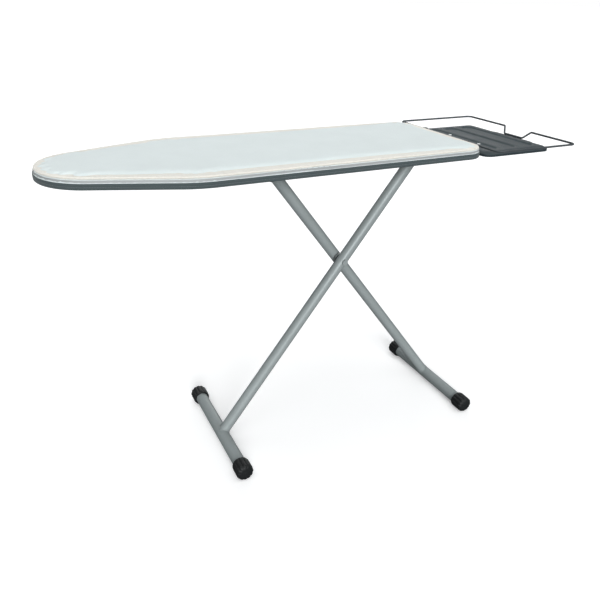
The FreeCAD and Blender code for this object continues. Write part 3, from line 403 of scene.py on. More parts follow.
def edge_wear():
    """Mask of rubbed edges, from the angle between a rounded and a true normal, broken by noise."""
    group, given, result = new_group(
        "edge_wear",
        [("Place", "NodeSocketVector", None), ("Reach", "NodeSocketFloat", 0.0008),
         ("Amount", "NodeSocketFloat", 0.5)],
        [("Wear", "NodeSocketFloat")])
    rounded = group.nodes.new("ShaderNodeBevel")
    rounded.samples = 4
    group.links.new(given.outputs["Reach"], rounded.inputs["Radius"])
    true_normal = group.nodes.new("ShaderNodeNewGeometry")
    dot = group.nodes.new("ShaderNodeVectorMath")
    dot.operation = "DOT_PRODUCT"
    group.links.new(rounded.outputs[0], dot.inputs[0])
    group.links.new(true_normal.outputs["Normal"], dot.inputs[1])
    edge = remap(group, dot.outputs["Value"], FLAT_ALIGNMENT, SHARP_ALIGNMENT, 0.0, 1.0)
    blots = noise_node(group, given.outputs["Place"], WEAR_SCALE, detail=5.0, roughness=0.65)
    patches = remap(group, blots, 0.48, 0.62, 0.0, 1.0)
    broken = math_node(group, "MULTIPLY", edge, patches)
    group.links.new(math_node(group, "MULTIPLY", broken, given.outputs["Amount"], clamp=True),
                    result.inputs["Wear"])
    return group


def settled_dust():
    """Dust that lies on what faces up, thicker in patches."""
    group, given, result = new_group(
        "settled_dust",
        [("Place", "NodeSocketVector", None), ("Amount", "NodeSocketFloat", 0.15)],
        [("Dust", "NodeSocketFloat")])
    facing = group.nodes.new("ShaderNodeNewGeometry")
    split = group.nodes.new("ShaderNodeSeparateXYZ")
    group.links.new(facing.outputs["Normal"], split.inputs[0])
    level = remap(group, split.outputs["Z"], 0.2, 1.0, 0.0, 1.0)
    patches = noise_node(group, given.outputs["Place"], DUST_SCALE, detail=5.0, roughness=0.6)
    lying = math_node(group, "MULTIPLY", level, patches)
    group.links.new(math_node(group, "MULTIPLY", lying, given.outputs["Amount"], clamp=True),
                    result.inputs["Dust"])
    return group


WOVEN = woven_threads()
POWDER = powder_paint()
WEAR = edge_wear()
DUST = settled_dust()
print("shared groups:", [group.name for group in (WOVEN, POWDER, WEAR, DUST)])

# %% [markdown]
# ## Materials
#
# Each finish starts from the same few steps: an empty material with its shader, a place in the
# object for the textures, the shared groups with this finish's own values, and a bump for the
# relief. The helpers below keep those steps in one place, so each finish reads as a recipe.


# %% Helpers for materials
def new_material(name):
    """Material with a Principled shader; returns material, tree and shader."""
    material = bpy.data.materials.new(name)
    material.use_nodes = True
    tree = material.node_tree
    return material, tree, tree.nodes["Principled BSDF"]


def place_in(tree, cloth=False):
    """Texture place: metres of the object, or metres of cloth."""
    if cloth:
        item = tree.nodes.new("ShaderNodeUVMap")
        item.uv_map = "cloth"
        return item.outputs["UV"]
    return tree.nodes.new("ShaderNodeTexCoord").outputs["Object"]


def use_group(tree, group, place_name, place, **values):
    """Shared group with its place linked and its values set; returns its outputs."""
    item = tree.nodes.new("ShaderNodeGroup")
    item.node_tree = group
    tree.links.new(place, item.inputs[place_name])
    for title, value in values.items():
        item.inputs[title].default_value = value
    return item.outputs


def add_bump(tree, shader, height, distance):
    """Relief from a height, as deep as a distance."""
    bump = tree.nodes.new("ShaderNodeBump")
    bump.inputs["Strength"].default_value = 1.0
    bump.inputs["Distance"].default_value = distance
    tree.links.new(height, bump.inputs["Height"])
    tree.links.new(bump.outputs["Normal"], shader.inputs["Normal"])


def set_shader(shader, **values):
    """Constants on the shader's own sockets, by names with underscores for spaces."""
    for title, value in values.items():
        shader.inputs[title.replace("_", " ")].default_value = value


def tone(colour, factor):
    """Opaque colour, lighter or darker by a factor."""
    return tuple(min(channel * factor, 1.0) for channel in colour) + (1.0,)


# %% [markdown]
# ### Cloth
#
# The cover is a pale cotton with a close plain weave, the band a darker twill-like polyester and
# the underlay a needled felt. A cloth's colour is never flat: the valleys between the threads get
# a painted shade in the base colour, and washing leaves faint clouds that steer it a little too.
# The sheen is the soft glow of fibre ends at a grazing angle.


# %% Cloth materials
WASHED_OUT = 0.86


def cloth_material(name, colour, thread, relief, valley_shade_depth, cloud, sheen, roughness):
    """Woven cloth with a painted shade in the valleys between the threads, faint clouds and a sheen."""
    material, tree, shader = new_material(name)
    weave = use_group(tree, WOVEN, "Cloth", place_in(tree, cloth=True), Thread=thread)
    # painted shade: the valleys between the threads are darker in the base colour
    painted_valley_shade = mix_colours(tree, weave["Shade"], tone(colour, 1.0 - valley_shade_depth), tone(colour, 1.0))
    clouds = spread_noise(tree, weave["Blotch"], 0.0, cloud)
    clouded = mix_colours(tree, clouds, painted_valley_shade, tone(colour, WASHED_OUT))
    tree.links.new(clouded, shader.inputs["Base Color"])
    tree.links.new(spread_noise(tree, weave["Blotch"], roughness - 0.05, roughness + 0.05),
                   shader.inputs["Roughness"])
    add_bump(tree, shader, weave["Height"], relief)
    set_shader(shader, Sheen_Weight=sheen, Sheen_Roughness=0.5, Specular_IOR_Level=0.25)
    return material


COTTON = cloth_material("cover_cotton", (0.690, 0.755, 0.755), thread=0.0007, relief=0.00008,
                        valley_shade_depth=0.05, cloud=0.30, sheen=0.10, roughness=0.86)
BAND = cloth_material("band_cloth", (0.075, 0.098, 0.103), thread=0.0009, relief=0.00015,
                      valley_shade_depth=0.30, cloud=0.5, sheen=0.12, roughness=0.80)
THREAD = cloth_material("sewing_thread", (0.150, 0.180, 0.185), thread=0.0003, relief=0.00005,
                        valley_shade_depth=0.25, cloud=0.3, sheen=0.2, roughness=0.7)

FELT_DARK = (0.62, 0.60, 0.54, 1.0)
FELT_PALE = (0.80, 0.78, 0.72, 1.0)
FIBRE_SCALE = 1400.0
CLUMP_SCALE = 160.0
FELT_RELIEF = 0.0006


def felt_material():
    """Needled felt: tangled fibres of many sizes, no weave."""
    material, tree, shader = new_material("pad_felt")
    place = place_in(tree)
    fibres = noise_node(tree, place, FIBRE_SCALE, detail=6.0, roughness=0.75)
    clumps = noise_node(tree, place, CLUMP_SCALE, detail=4.0, roughness=0.6)
    mixed = mix_colours(tree, clumps, FELT_DARK, FELT_PALE)
    tree.links.new(mixed, shader.inputs["Base Color"])
    tree.links.new(spread_noise(tree, fibres, 0.85, 0.98), shader.inputs["Roughness"])
    add_bump(tree, shader, math_node(tree, "ADD", fibres, clumps), FELT_RELIEF)
    set_shader(shader, Sheen_Weight=0.3, Specular_IOR_Level=0.2)
    return material


FELT = felt_material()

# %% [markdown]
# ### Painted metal
#
# The legs have a mid-grey paint with a little aluminium flake, the tray and guard a dark
# grey-green powder coat, and the deck a light enamel. All are the same recipe: orange peel for
# the relief, flake specks painted lighter into the colour as a painted glint, cloudy thickness for
# the roughness, worn edges where hands and floors rub them, and a little dust on what faces up.


# %% Painted metal materials
BARE_STEEL = (0.52, 0.53, 0.53, 1.0)
PALE_DUST = (0.55, 0.55, 0.53, 1.0)
PAINT_GLINT = (0.45, 0.47, 0.47, 1.0)
THIN_COAT = 0.90
THICK_COAT = 1.08
# painted glint: how much lighter the flake specks are painted
PAINTED_FLAKE_GLINT = 2.2


def painted_material(name, colour, metallic, roughness, grain, relief, wear, dust, flake):
    """Powder coat with orange peel, flake specks painted lighter as a painted glint, worn at the edges and dusty
    on top.
    """
    material, tree, shader = new_material(name)
    place = place_in(tree)
    paint = use_group(tree, POWDER, "Place", place, Grain=grain)
    worn = use_group(tree, WEAR, "Place", place, Amount=wear)["Wear"]
    dusty = use_group(tree, DUST, "Place", place, Amount=dust)["Dust"]
    clouded = mix_colours(tree, paint["Cloud"], tone(colour, THIN_COAT), tone(colour, THICK_COAT))
    # painted glint: flake specks lighter in the base colour, standing in for their reflection
    flake_glint_mask = remap(tree, paint["Flake"], 0.0, 1.0, 0.0, flake)
    painted_flake_glint = mix_colours(tree, flake_glint_mask, clouded, tone(colour, PAINTED_FLAKE_GLINT))
    rubbed = mix_colours(tree, worn, painted_flake_glint, BARE_STEEL)
    dusted = mix_colours(tree, dusty, rubbed, PALE_DUST)
    tree.links.new(dusted, shader.inputs["Base Color"])
    cloudy = spread_noise(tree, paint["Cloud"], roughness - 0.05, roughness + 0.06)
    tree.links.new(math_node(tree, "ADD", cloudy, math_node(tree, "MULTIPLY", dusty, 0.5)),
                   shader.inputs["Roughness"])
    tree.links.new(math_node(tree, "MAXIMUM", metallic, worn), shader.inputs["Metallic"])
    add_bump(tree, shader, paint["Height"], relief)
    set_shader(shader, Specular_IOR_Level=0.3, Specular_Tint=PAINT_GLINT)
    return material


LEG_PAINT = painted_material("leg_paint", (0.300, 0.335, 0.337), metallic=0.12, roughness=0.44,
                             grain=1100.0, relief=0.00005, wear=0.4, dust=0.04, flake=0.10)
TRAY_PAINT = painted_material("tray_enamel", (0.036, 0.050, 0.057), metallic=0.05, roughness=0.58,
                              grain=1500.0, relief=0.00010, wear=0.25, dust=0.10, flake=0.05)
GUARD_PAINT = painted_material("guard_paint", (0.070, 0.080, 0.086), metallic=0.25, roughness=0.42,
                               grain=1500.0, relief=0.00006, wear=0.3, dust=0.05, flake=0.05)
DECK_PAINT = painted_material("deck_steel", (0.42, 0.44, 0.45), metallic=0.25, roughness=0.45,
                              grain=900.0, relief=0.00006, wear=0.5, dust=0.1, flake=0.04)

# %% [markdown]
# ### Bright zinc, rubber and moulded plastic
#
# Pins and rods are zinc plated: bright, with fine drawing marks. The feet are solid rubber with
# a matt skin that scuffs where it meets the floor, and the plastic parts have the even grain of a
# spark-eroded mould. None of them is a plain colour, because each one's roughness wanders.


# %% Zinc, rubber and plastic materials
DRAWN_STRETCH = (60.0, 1200.0, 1200.0)
ZINC_DULL = (0.50, 0.51, 0.50, 1.0)
ZINC_BRIGHT = (0.72, 0.73, 0.74, 1.0)
GREY_DUST = (0.45, 0.44, 0.42, 1.0)
SPANGLE_SCALE = 90.0
DRAWN_RELIEF = 0.00003
SCUFF_SCALE = 35.0
SCUFF_REACH = 0.0012
SCUFF_PALER = 2.4
MOULDED_DUST = 0.04


def zinc_material():
    """Zinc plate: bright spangle with fine drawing marks along the piece."""
    material, tree, shader = new_material("zinc_plate")
    place = place_in(tree)
    drawn = tree.nodes.new("ShaderNodeMapping")
    drawn.inputs["Scale"].default_value = DRAWN_STRETCH
    tree.links.new(place, drawn.inputs["Vector"])
    marks = noise_node(tree, drawn.outputs["Vector"], 1.0, detail=3.0, roughness=0.6)
    spangle = noise_node(tree, place, SPANGLE_SCALE, detail=4.0, roughness=0.6)
    mixed = mix_colours(tree, spangle, ZINC_DULL, ZINC_BRIGHT)
    tree.links.new(mixed, shader.inputs["Base Color"])
    tree.links.new(spread_noise(tree, marks, 0.24, 0.42), shader.inputs["Roughness"])
    add_bump(tree, shader, marks, DRAWN_RELIEF)
    set_shader(shader, Metallic=1.0)
    return material


def moulded_material(name, colour, roughness, grain, relief, scuff):
    """Rubber or plastic with a mould's fine grain, rubbed paler in patches and on edges."""
    material, tree, shader = new_material(name)
    place = place_in(tree)
    fine = noise_node(tree, place, grain, detail=3.0, roughness=0.6)
    broad = noise_node(tree, place, SCUFF_SCALE, detail=5.0, roughness=0.6)
    worn = use_group(tree, WEAR, "Place", place, Amount=scuff, Reach=SCUFF_REACH)["Wear"]
    dusty = use_group(tree, DUST, "Place", place, Amount=MOULDED_DUST)["Dust"]
    patches = remap(tree, broad, 0.35, 0.75, 0.0, 1.0)
    clouded = mix_colours(tree, patches, tone(colour, 0.85), tone(colour, 1.25))
    rubbed = mix_colours(tree, worn, clouded, tone(colour, SCUFF_PALER))
    tree.links.new(mix_colours(tree, dusty, rubbed, GREY_DUST), shader.inputs["Base Color"])
    tree.links.new(spread_noise(tree, broad, roughness - 0.07, roughness + 0.08),
                   shader.inputs["Roughness"])
    add_bump(tree, shader, fine, relief)
    set_shader(shader, Specular_IOR_Level=0.3)
    return material


ZINC = zinc_material()
RUBBER = moulded_material("foot_rubber", (0.0070, 0.0085, 0.0095), roughness=0.55, grain=900.0,
                          relief=0.00008, scuff=0.6)
NYLON = moulded_material("moulded_nylon", (0.022, 0.026, 0.029), roughness=0.48, grain=1500.0,
                         relief=0.00005, scuff=0.4)
ARM_NYLON = moulded_material("arm_nylon", (0.070, 0.090, 0.095), roughness=0.50, grain=1500.0,
                             relief=0.00005, scuff=0.4)
ACETAL = moulded_material("bush_acetal", (0.16, 0.18, 0.18), roughness=0.35, grain=2000.0,
                          relief=0.00002, scuff=0.1)
print("materials:", len(bpy.data.materials))

# %% [markdown]
# ## Cotton cover
#
# The cover is a cotton sheet pulled tight over the pad and down its sides by an elastic hem. It
# could be a bevelled slab, but a slab has no tension in it. Here a shell with the board's outline
# is remeshed to even quads, held along its lower edge like the real seam, and filled with a
# little air pressure by the cloth solver, so that it crowns away from the seam as stretched
# cotton over foam does. The rise is then limited, because foam under tension hardly swells, and
# small gathers are added beside the seam, where the sewing pulls on the cloth.

# %% Cover: shell before the simulation
SIDE_INSET = 1.3 * MM
EDGE_ROUNDING = 10 * MM
ROUNDING_STEPS = 6
CLOTH_RISE = 4.0 * MM
CROWN_ROOM = 0.4 * MM
TUCK = 9 * MM
SHELL_COUNT = 480
QUAD_SIZE = 6 * MM
FACES_DOWN = -0.7
shell_top = BOARD_TOP - CLOTH_RISE - CROWN_ROOM


def ring_at(arcs, inset, level, count):
    """Outline drawn in by an inset, at a level."""
    points, _ = outline(arcs, inset, count)
    return [(x, y, level) for x, y, _, _ in points]


def cover_shell():
    """Closed slab with a rounded upper edge, from inside the band to the pad's top."""
    rings = [ring_at(BOARD_ARCS, SIDE_INSET, SEAM_Z - TUCK, SHELL_COUNT)]
    for step in range(ROUNDING_STEPS + 1):
        angle = 0.5 * math.pi * step / ROUNDING_STEPS
        inset = SIDE_INSET + EDGE_ROUNDING * (1 - math.cos(angle))
        level = shell_top - EDGE_ROUNDING * (1 - math.sin(angle))
        rings.append(ring_at(BOARD_ARCS, inset, level, SHELL_COUNT))
    vertices, faces = join_rings(rings)
    close_ends(vertices, faces, SHELL_COUNT)
    return make_object("ironing_cover", vertices, faces)


cover = cover_shell()
even_quads(cover, QUAD_SIZE)
opened = bmesh.new()
opened.from_mesh(cover.data)
lower = [face for face in opened.faces if face.normal.z < FACES_DOWN]
bmesh.ops.delete(opened, geom=lower, context="FACES")
opened.to_mesh(cover.data)
opened.free()
print("cover quads:", len(cover.data.polygons))

# %% Cover: air pressure under held cloth
SIMULATED_FRAMES = 20
SEAM_FADE = 4 * MM
CLOTH_SPREAD = 1.0 * MM


def hold_lower_edge(piece, level):
    """Vertex group that keeps the sewn edge where it is."""
    seam = piece.vertex_groups.new(name="seam")
    for vertex in piece.data.vertices:
        held = min(max((level - vertex.co.z) / SEAM_FADE, 0.0), 1.0)
        if held > 0:
            seam.add([vertex.index], held, "REPLACE")


def inflate(piece):
    """Points of the cloth after the solver has blown it up, with its modifier removed."""
    cloth = piece.modifiers.new("cloth", "CLOTH")
    cloth.settings.vertex_group_mass = "seam"
    cloth.settings.quality = 5
    cloth.settings.tension_stiffness = 25
    cloth.settings.compression_stiffness = 25
    cloth.settings.bending_stiffness = 2.0
    cloth.settings.use_pressure = True
    cloth.settings.uniform_pressure_force = 4
    cloth.settings.effector_weights.gravity = 0
    cloth.point_cache.frame_end = SIMULATED_FRAMES
    for step in range(1, SIMULATED_FRAMES + 1):
        bpy.context.scene.frame_set(step)
    graph = bpy.context.evaluated_depsgraph_get()
    blown = read_points(piece.evaluated_get(graph).data)
    piece.modifiers.clear()
    bpy.context.scene.frame_set(1)
    return blown


def limit_rise(still, blown, rise, spread):
    """Cap the movement softly: by rise upwards and by spread sideways."""
    moved = blown - still
    moved[:, 2] = rise * np.tanh(moved[:, 2] / rise)
    sideways = np.hypot(moved[:, 0], moved[:, 1])
    factor = spread * np.tanh(sideways / spread) / np.maximum(sideways, 1e-9)
    moved[:, 0] *= factor
    moved[:, 1] *= factor
    return still + moved


hold_lower_edge(cover, SEAM_Z + SEAM_FADE)
still_points = read_points(cover.data)
risen = limit_rise(still_points, inflate(cover), CLOTH_RISE, CLOTH_SPREAD)
write_points(cover.data, risen)
cover.vertex_groups.clear()
print("cloth rise (mm):", round(float((risen - still_points)[:, 2].max()) * 1000, 2))

# %% Cover: smooth quads and gathers beside the seam
RIPPLE_COUNT = 24
BEND_REACH = 8
FULL_BEND = 0.12
STRAIGHT_SHARE = 0.25
GATHER_HEIGHT = 0.55 * MM
GATHER_FADE = 13 * MM
SWELL_HEIGHT = 0.25 * MM
SWELL_REACH = 60 * MM
FOLD_FADE = 10 * MM
finer = cover.modifiers.new("finer", "SUBSURF")
finer.levels = 1
finer.render_levels = 1
bake_modifiers(cover)

edge_tree = kdtree.KDTree(len(edge_points))
for index, (x, y, _, _) in enumerate(edge_points):
    edge_tree.insert((x, y, 0.0), index)
edge_tree.balance()


def edge_places(points):
    """For each point: how far inside the edge it is, and where along the edge."""
    inside = np.empty(len(points))
    along = np.empty(len(points), dtype=int)
    for row, (x, y, _) in enumerate(points):
        _, along[row], inside[row] = edge_tree.find((x, y, 0.0))
    return inside, along


def gathers(count, seed, waves, amplitude):
    """Uneven ripples along the edge, the same every time, as heights at the edge points."""
    chooser = np.random.default_rng(seed)
    place = np.arange(count) / count * 2 * np.pi
    total = np.zeros(count)
    for _ in range(RIPPLE_COUNT):
        turns = chooser.integers(waves[0], waves[1])
        total += chooser.uniform(0.4, 1.0) * np.sin(turns * place + chooser.uniform(0, 2 * np.pi))
    return amplitude * total / np.abs(total).max()


def edge_tightness(count):
    """1 where the edge curves, where the hem gathers most, and less along the straight sides."""
    bend = np.zeros(count)
    for index in range(count):
        before, after = edge_points[index - BEND_REACH], edge_points[(index + BEND_REACH) % count]
        bend[index] = math.acos(max(-1.0, min(1.0, before[2] * after[2] + before[3] * after[3])))
    return STRAIGHT_SHARE + (1 - STRAIGHT_SHARE) * np.clip(bend / FULL_BEND, 0, 1)


cover_points = read_points(cover.data)
inside, along = edge_places(cover_points)
tightness = edge_tightness(len(edge_points))
ripple = gathers(len(edge_points), 7, (70, 230), GATHER_HEIGHT) * tightness
fade = np.exp(-inside / GATHER_FADE)
normals = np.empty(len(cover_points) * 3)
cover.data.vertices.foreach_get("normal", normals)
normals = normals.reshape(-1, 3)
x, y = cover_points[:, 0], cover_points[:, 1]
swell = SWELL_HEIGHT * (np.sin(x * 23 + 1.3 * np.sin(y * 11)) + np.sin(y * 29 + x * 7 + 0.8))
swell *= np.clip(inside / SWELL_REACH, 0, 1)
rub = ripple[along] * fade * np.clip((cover_points[:, 2] - SEAM_Z) / SEAM_FADE, 0, 1)
cover_points += normals * (rub - np.abs(swell))[:, None]
cover_points[:, 2] = np.minimum(cover_points[:, 2], BOARD_TOP)
write_points(cover.data, cover_points)
drop = BOARD_TOP - cover_points[:, 2]
hanging = np.exp(-inside / FOLD_FADE)
unrolled = cover_points[:, :2] + edge_points[along, 2:] * drop[:, None] * hanging[:, None]
add_cloth_map(cover.data, unrolled)

# %% Cover: thickness and facts
COTTON_THICKNESS = 0.9 * MM
thicken(cover, COTTON_THICKNESS)
finish_piece(cover, "board", COTTON, "cover_cotton", "cover_top")

# %% [markdown]
# ## Side band and hem
#
# Below the seam a darker band closes the side and turns in under the rim, where an elastic cord
# draws it tight. It could be part of the cover, but it is a separate strip sewn on, so it gets
# its own mesh: one profile carried round the outline. The profile has a rolled seam on top, a
# stitched line half way down, a rounded lower edge and a hem with a channel for the elastic. The
# hem puckers, more where the outline curves, because there its cut length has to shrink.

# %% Band profile carried round the outline
PUCKER_HEIGHT = 1.0 * MM
PUCKER_OUT = 0.3
PUCKER_UP = 0.6
BAND_THICKNESS = 0.7 * MM
BAND_PROFILE = [
    # inset in mm, height over the band's bottom in mm, share of the pucker
    (3.4, 15.6, 0.0), (2.0, 16.0, 0.0), (0.9, 15.8, 0.05), (0.25, 15.1, 0.08), (0.05, 14.2, 0.08),
    (0.2, 13.2, 0.08), (0.1, 12.2, 0.06), (0.0, 10.8, 0.05), (0.0, 9.2, 0.05), (0.25, 8.4, 0.05),
    (0.6, 8.0, 0.05), (0.6, 7.6, 0.05), (0.25, 7.2, 0.05), (0.0, 6.4, 0.06), (0.0, 4.6, 0.08),
    (0.1, 3.0, 0.12), (0.5, 1.5, 0.18), (1.5, 0.5, 0.25), (3.2, 0.1, 0.35), (6.0, 0.1, 0.5),
    (9.0, 0.0, 0.7), (11.5, -0.5, 0.9), (13.0, -1.2, 1.0), (14.5, -1.4, 1.0), (16.0, -1.0, 1.0),
    (16.8, 0.0, 1.0), (16.2, 1.0, 1.0), (14.6, 1.2, 1.0),
]
pucker = gathers(len(edge_points), 21, (160, 420), PUCKER_HEIGHT) * tightness


def side_band():
    """Strip of cloth with its profile carried round the outline, and its cut width."""
    rings = []
    lengths = [0.0]
    for inset, height, share in BAND_PROFILE:
        points, _ = outline(BOARD_ARCS, inset * MM, len(edge_points))
        ring = []
        for (px, py, nx, ny), lift in zip(points, pucker):
            side = PUCKER_OUT * share * lift
            level = BAND_BOTTOM + height * MM - abs(lift) * share * PUCKER_UP
            ring.append((px + nx * side, py + ny * side, level))
        rings.append(ring)
    for (i0, h0, _), (i1, h1, _) in zip(BAND_PROFILE, BAND_PROFILE[1:]):
        lengths.append(lengths[-1] + math.hypot(i1 - i0, h1 - h0) * MM)
    vertices, faces = join_rings(rings)
    piece = make_object("side_band", vertices, [tuple(reversed(face)) for face in faces])
    step = edge_length / len(edge_points)
    cloth_map = [(column * step, down) for down in lengths for column in range(len(edge_points))]
    add_cloth_map(piece.data, cloth_map)
    return piece, lengths[-1]


band, band_width = side_band()
thicken(band, BAND_THICKNESS)
finish_piece(band, "board", BAND, "band_cloth", "cover_band")

# %% [markdown]
# ## Stitches on the band
#
# A line of stitches runs round the band at half its height, a shade lighter than the cloth. It
# could be a bump, but the thread stands proud and catches light, so each stitch is a small bead
# of geometry, set along the outline by a loop.

# %% Stitches
STITCH_PITCH = 3.6 * MM
STITCH_LENGTH = 2.7 * MM
STITCH_RADIUS = 0.45 * MM
STITCH_LEVEL = 7.8 * MM
STITCH_INSET = 0.35 * MM
STITCH_SIDES = 6
STITCH_BEAD = (
    # place along the stitch, share of its width
    (-0.5, 0.35), (-0.32, 0.9), (0.0, 1.0), (0.32, 0.9), (0.5, 0.35),
)


def band_stitches():
    """One bead of thread for each stitch, pulled into the cloth at both ends."""
    count = int(edge_length / STITCH_PITCH)
    places, _ = outline(BOARD_ARCS, STITCH_INSET, count)
    vertices, faces = [], []
    for px, py, nx, ny in places:
        centre = Vector((px, py, BAND_BOTTOM + STITCH_LEVEL))
        out = Vector((nx, ny, 0.0))
        run = Vector((-ny, nx, 0.0))
        first = len(vertices)
        for share, width in STITCH_BEAD:
            for step in range(STITCH_SIDES):
                angle = 2 * math.pi * step / STITCH_SIDES
                lift = out * math.cos(angle) + Vector((0.0, 0.0, 1.0)) * math.sin(angle)
                sink = out * (-0.5 * STITCH_RADIUS * (2 * abs(share)) ** 2)
                vertices.append(centre + run * share * STITCH_LENGTH + sink + lift * width * STITCH_RADIUS)
        last = len(vertices) - STITCH_SIDES
        for low in range(first, last, STITCH_SIDES):
            for step in range(STITCH_SIDES):
                here, following = low + step, low + (step + 1) % STITCH_SIDES
                faces.append((here, following, following + STITCH_SIDES, here + STITCH_SIDES))
        faces.append(tuple(range(first + STITCH_SIDES - 1, first - 1, -1)))
        faces.append(tuple(range(last, last + STITCH_SIDES)))
    piece = make_object("band_stitches", vertices, faces)
    add_cloth_map(piece.data, [(point[0] + point[1], point[2]) for point in read_points(piece.data)])
    return piece


stitches = band_stitches()
finish_piece(stitches, "board", THREAD, "band_cloth")

# %% [markdown]
# ## Felt underlay
#
# Between the cotton and the steel lies a felted pad. From above it only shows as the softness of
# the edge; from below it shows through the mesh. It is a thin slab with a rounded, slightly
# uneven edge, and its underside has the dimples that the mesh presses into it.

# %% Underlay
PAD_COUNT = 360
PAD_LIFT = 0.3 * MM
PAD_WOBBLE = 0.6 * MM
PAD_THICKNESS = 6.0 * MM
FELT_QUAD = 4 * MM
DIMPLE_DEPTH = 0.25 * MM
DIMPLE_LAYER = 1.5 * MM
DIMPLES_ALONG = 392
DIMPLES_ACROSS = 785
PAD_PROFILE = (
    # inset in mm, height over the pad's underside in mm
    (9.0, 0.0), (4.6, 0.0), (3.6, 0.6), (3.2, 2.0), (3.2, 4.0), (3.7, 5.4), (5.0, 6.0), (9.0, 6.0),
)


def underlay():
    """Felt slab with an uneven round edge and the mesh's dimples in its underside."""
    bottom = DECK_TOP + PAD_LIFT
    wobble = np.abs(gathers(PAD_COUNT, 33, (5, 40), PAD_WOBBLE))
    rings = []
    for inset, height in PAD_PROFILE:
        points, _ = outline(BOARD_ARCS, inset * MM, PAD_COUNT)
        level = bottom + height / PAD_PROFILE[-1][1] * PAD_THICKNESS
        rings.append([(px - nx * waver, py - ny * waver, level)
                      for (px, py, nx, ny), waver in zip(points, wobble)])
    vertices, faces = join_rings(rings)
    close_ends(vertices, faces, PAD_COUNT)
    piece = make_object("underlay_pad", vertices, faces)
    even_quads(piece, FELT_QUAD)
    points = read_points(piece.data)
    low = points[:, 2] < bottom + DIMPLE_LAYER
    dimples = DIMPLE_DEPTH * np.sin(points[:, 0] * DIMPLES_ALONG) * np.sin(points[:, 1] * DIMPLES_ACROSS)
    points[low, 2] += dimples[low]
    write_points(piece.data, points)
    return piece


pad = underlay()
finish_piece(pad, "board", FELT, "pad_foam", "pad")

# %% [markdown]
# ## Expanded steel mesh
#
# The deck sheet is slit and stretched into diamonds, so that steam passes through. It could be a
# texture with holes, but the mesh has depth that shows from below. Stretched strands run along the
# board as zigzags whose bends meet their neighbours; each is a flat ribbon, twisted a little as
# expanded metal is, and stops at the rim.

# %% Mesh strands
DIAMOND_LONG = 16 * MM
DIAMOND_SHORT = 8 * MM
STRAND_WIDTH = 1.5 * MM
STRAND_DEPTH = 1.0 * MM
STRAND_TWIST = 0.35 * STRAND_DEPTH
TWIST_ON_TOP = 0.2
MESH_INSET = 5 * MM
REACH_COUNT = 2000


def inside_outline(inset):
    """Function that gives the board's half width at a station, drawn in by an inset."""
    points, _ = outline(BOARD_ARCS, inset, REACH_COUNT)
    upper = points[points[:, 1] >= 0]
    upper = upper[np.argsort(upper[:, 0])]
    return lambda station: float(np.interp(station, upper[:, 0], upper[:, 1], left=-1.0, right=-1.0))


def expanded_mesh():
    """Zigzag ribbons along the board, one beside the other, that stop at the rim."""
    reach = inside_outline(MESH_INSET)
    rows = int(half_width / DIAMOND_SHORT) + 1
    columns = int(board_length / (DIAMOND_LONG / 2)) + 2
    vertices, faces = [], []
    middle = DECK_TOP - STRAND_DEPTH / 2
    half = STRAND_WIDTH / 2
    for row in range(-rows, rows + 1):
        previous = None
        for column in range(columns):
            station = NOSE_X + column * DIAMOND_LONG / 2
            swing = DIAMOND_SHORT / 4 * (1 if (column + row) % 2 else -1)
            strand_y = row * DIAMOND_SHORT + swing
            if abs(strand_y) > reach(station):
                previous = None
                continue
            start = len(vertices)
            tilt = STRAND_TWIST * (1 if swing > 0 else -1)
            tip = tilt * TWIST_ON_TOP
            for dy, dz in ((-half, -STRAND_DEPTH / 2 - tilt), (half, -STRAND_DEPTH / 2 + tilt),
                           (half, STRAND_DEPTH / 2 + tip), (-half, STRAND_DEPTH / 2 - tip)):
                vertices.append((station, strand_y + dy, min(middle + dz, DECK_TOP)))
            if previous is not None:
                for step in range(4):
                    following = (step + 1) % 4
                    faces.append((previous + step, start + step, start + following, previous + following))
            previous = start
    piece = make_object("expanded_mesh", vertices, faces)
    loose = bmesh.new()
    loose.from_mesh(piece.data)
    bmesh.ops.delete(loose, geom=[v for v in loose.verts if not v.link_faces], context="VERTS")
    bmesh.ops.holes_fill(loose, edges=[e for e in loose.edges if e.is_boundary], sides=4)
    loose.to_mesh(piece.data)
    loose.free()
    piece.data.shade_flat()
    return piece


mesh_sheet = expanded_mesh()
finish_piece(mesh_sheet, "board", DECK_PAINT, "deck_steel", "deck_mesh")

# %% [markdown]
# ## Iron tray
#
# The tray is one pressed sheet: a turned-down skirt, a bevelled rim and three oval recesses. A
# pressed sheet has no sharp corner anywhere, because the steel has to flow over the die. So its
# height is worked out as a soft function of the distance to the edge and to each oval, on a grid
# whose corners are drawn round, and the skirt is added below as extra rings.

# %% Tray surface
TRAY_CORNER = 26 * MM
RIM_WIDTH = 14 * MM
RIM_DROP = 8 * MM
OVAL_RADIUS = 27.5 * MM
OVAL_REACH = 132.5 * MM
OVAL_PITCH = 71 * MM
OVAL_DEPTH = 4.5 * MM
OVAL_ROWS = (-1, 0, 1)
OVAL_START = 1.0 * MM
OVAL_SLOPE = 7.5 * MM
RIM_CURVE = 1.15
GROOVE_DEPTH = 0.9 * MM
GROOVE_WIDTH = 2.2 * MM
LIP_DEPTH = 0.5 * MM
LIP_REACH = 2.5 * MM
TRAY_GRID = (120, 176)
TRAY_THICKNESS = 1.2 * MM
SKIRT_FOLD = 1.0 * MM
SKIRT_RINGS = (
    # inset in mm, share of the skirt's height
    (0.0, 1.0), (0.0, 0.85), (0.0, 0.4), (0.0, 0.06), (0.4, 0.0), (1.4, 0.02),
)
tray_middle = (tray_low[0] + tray_high[0]) / 2
tray_half = ((tray_high[0] - tray_low[0]) / 2, tray_high[1])


def soft_step(value):
    """Smooth rise from 0 to 1."""
    value = np.clip(value, 0.0, 1.0)
    return value * value * (3 - 2 * value)


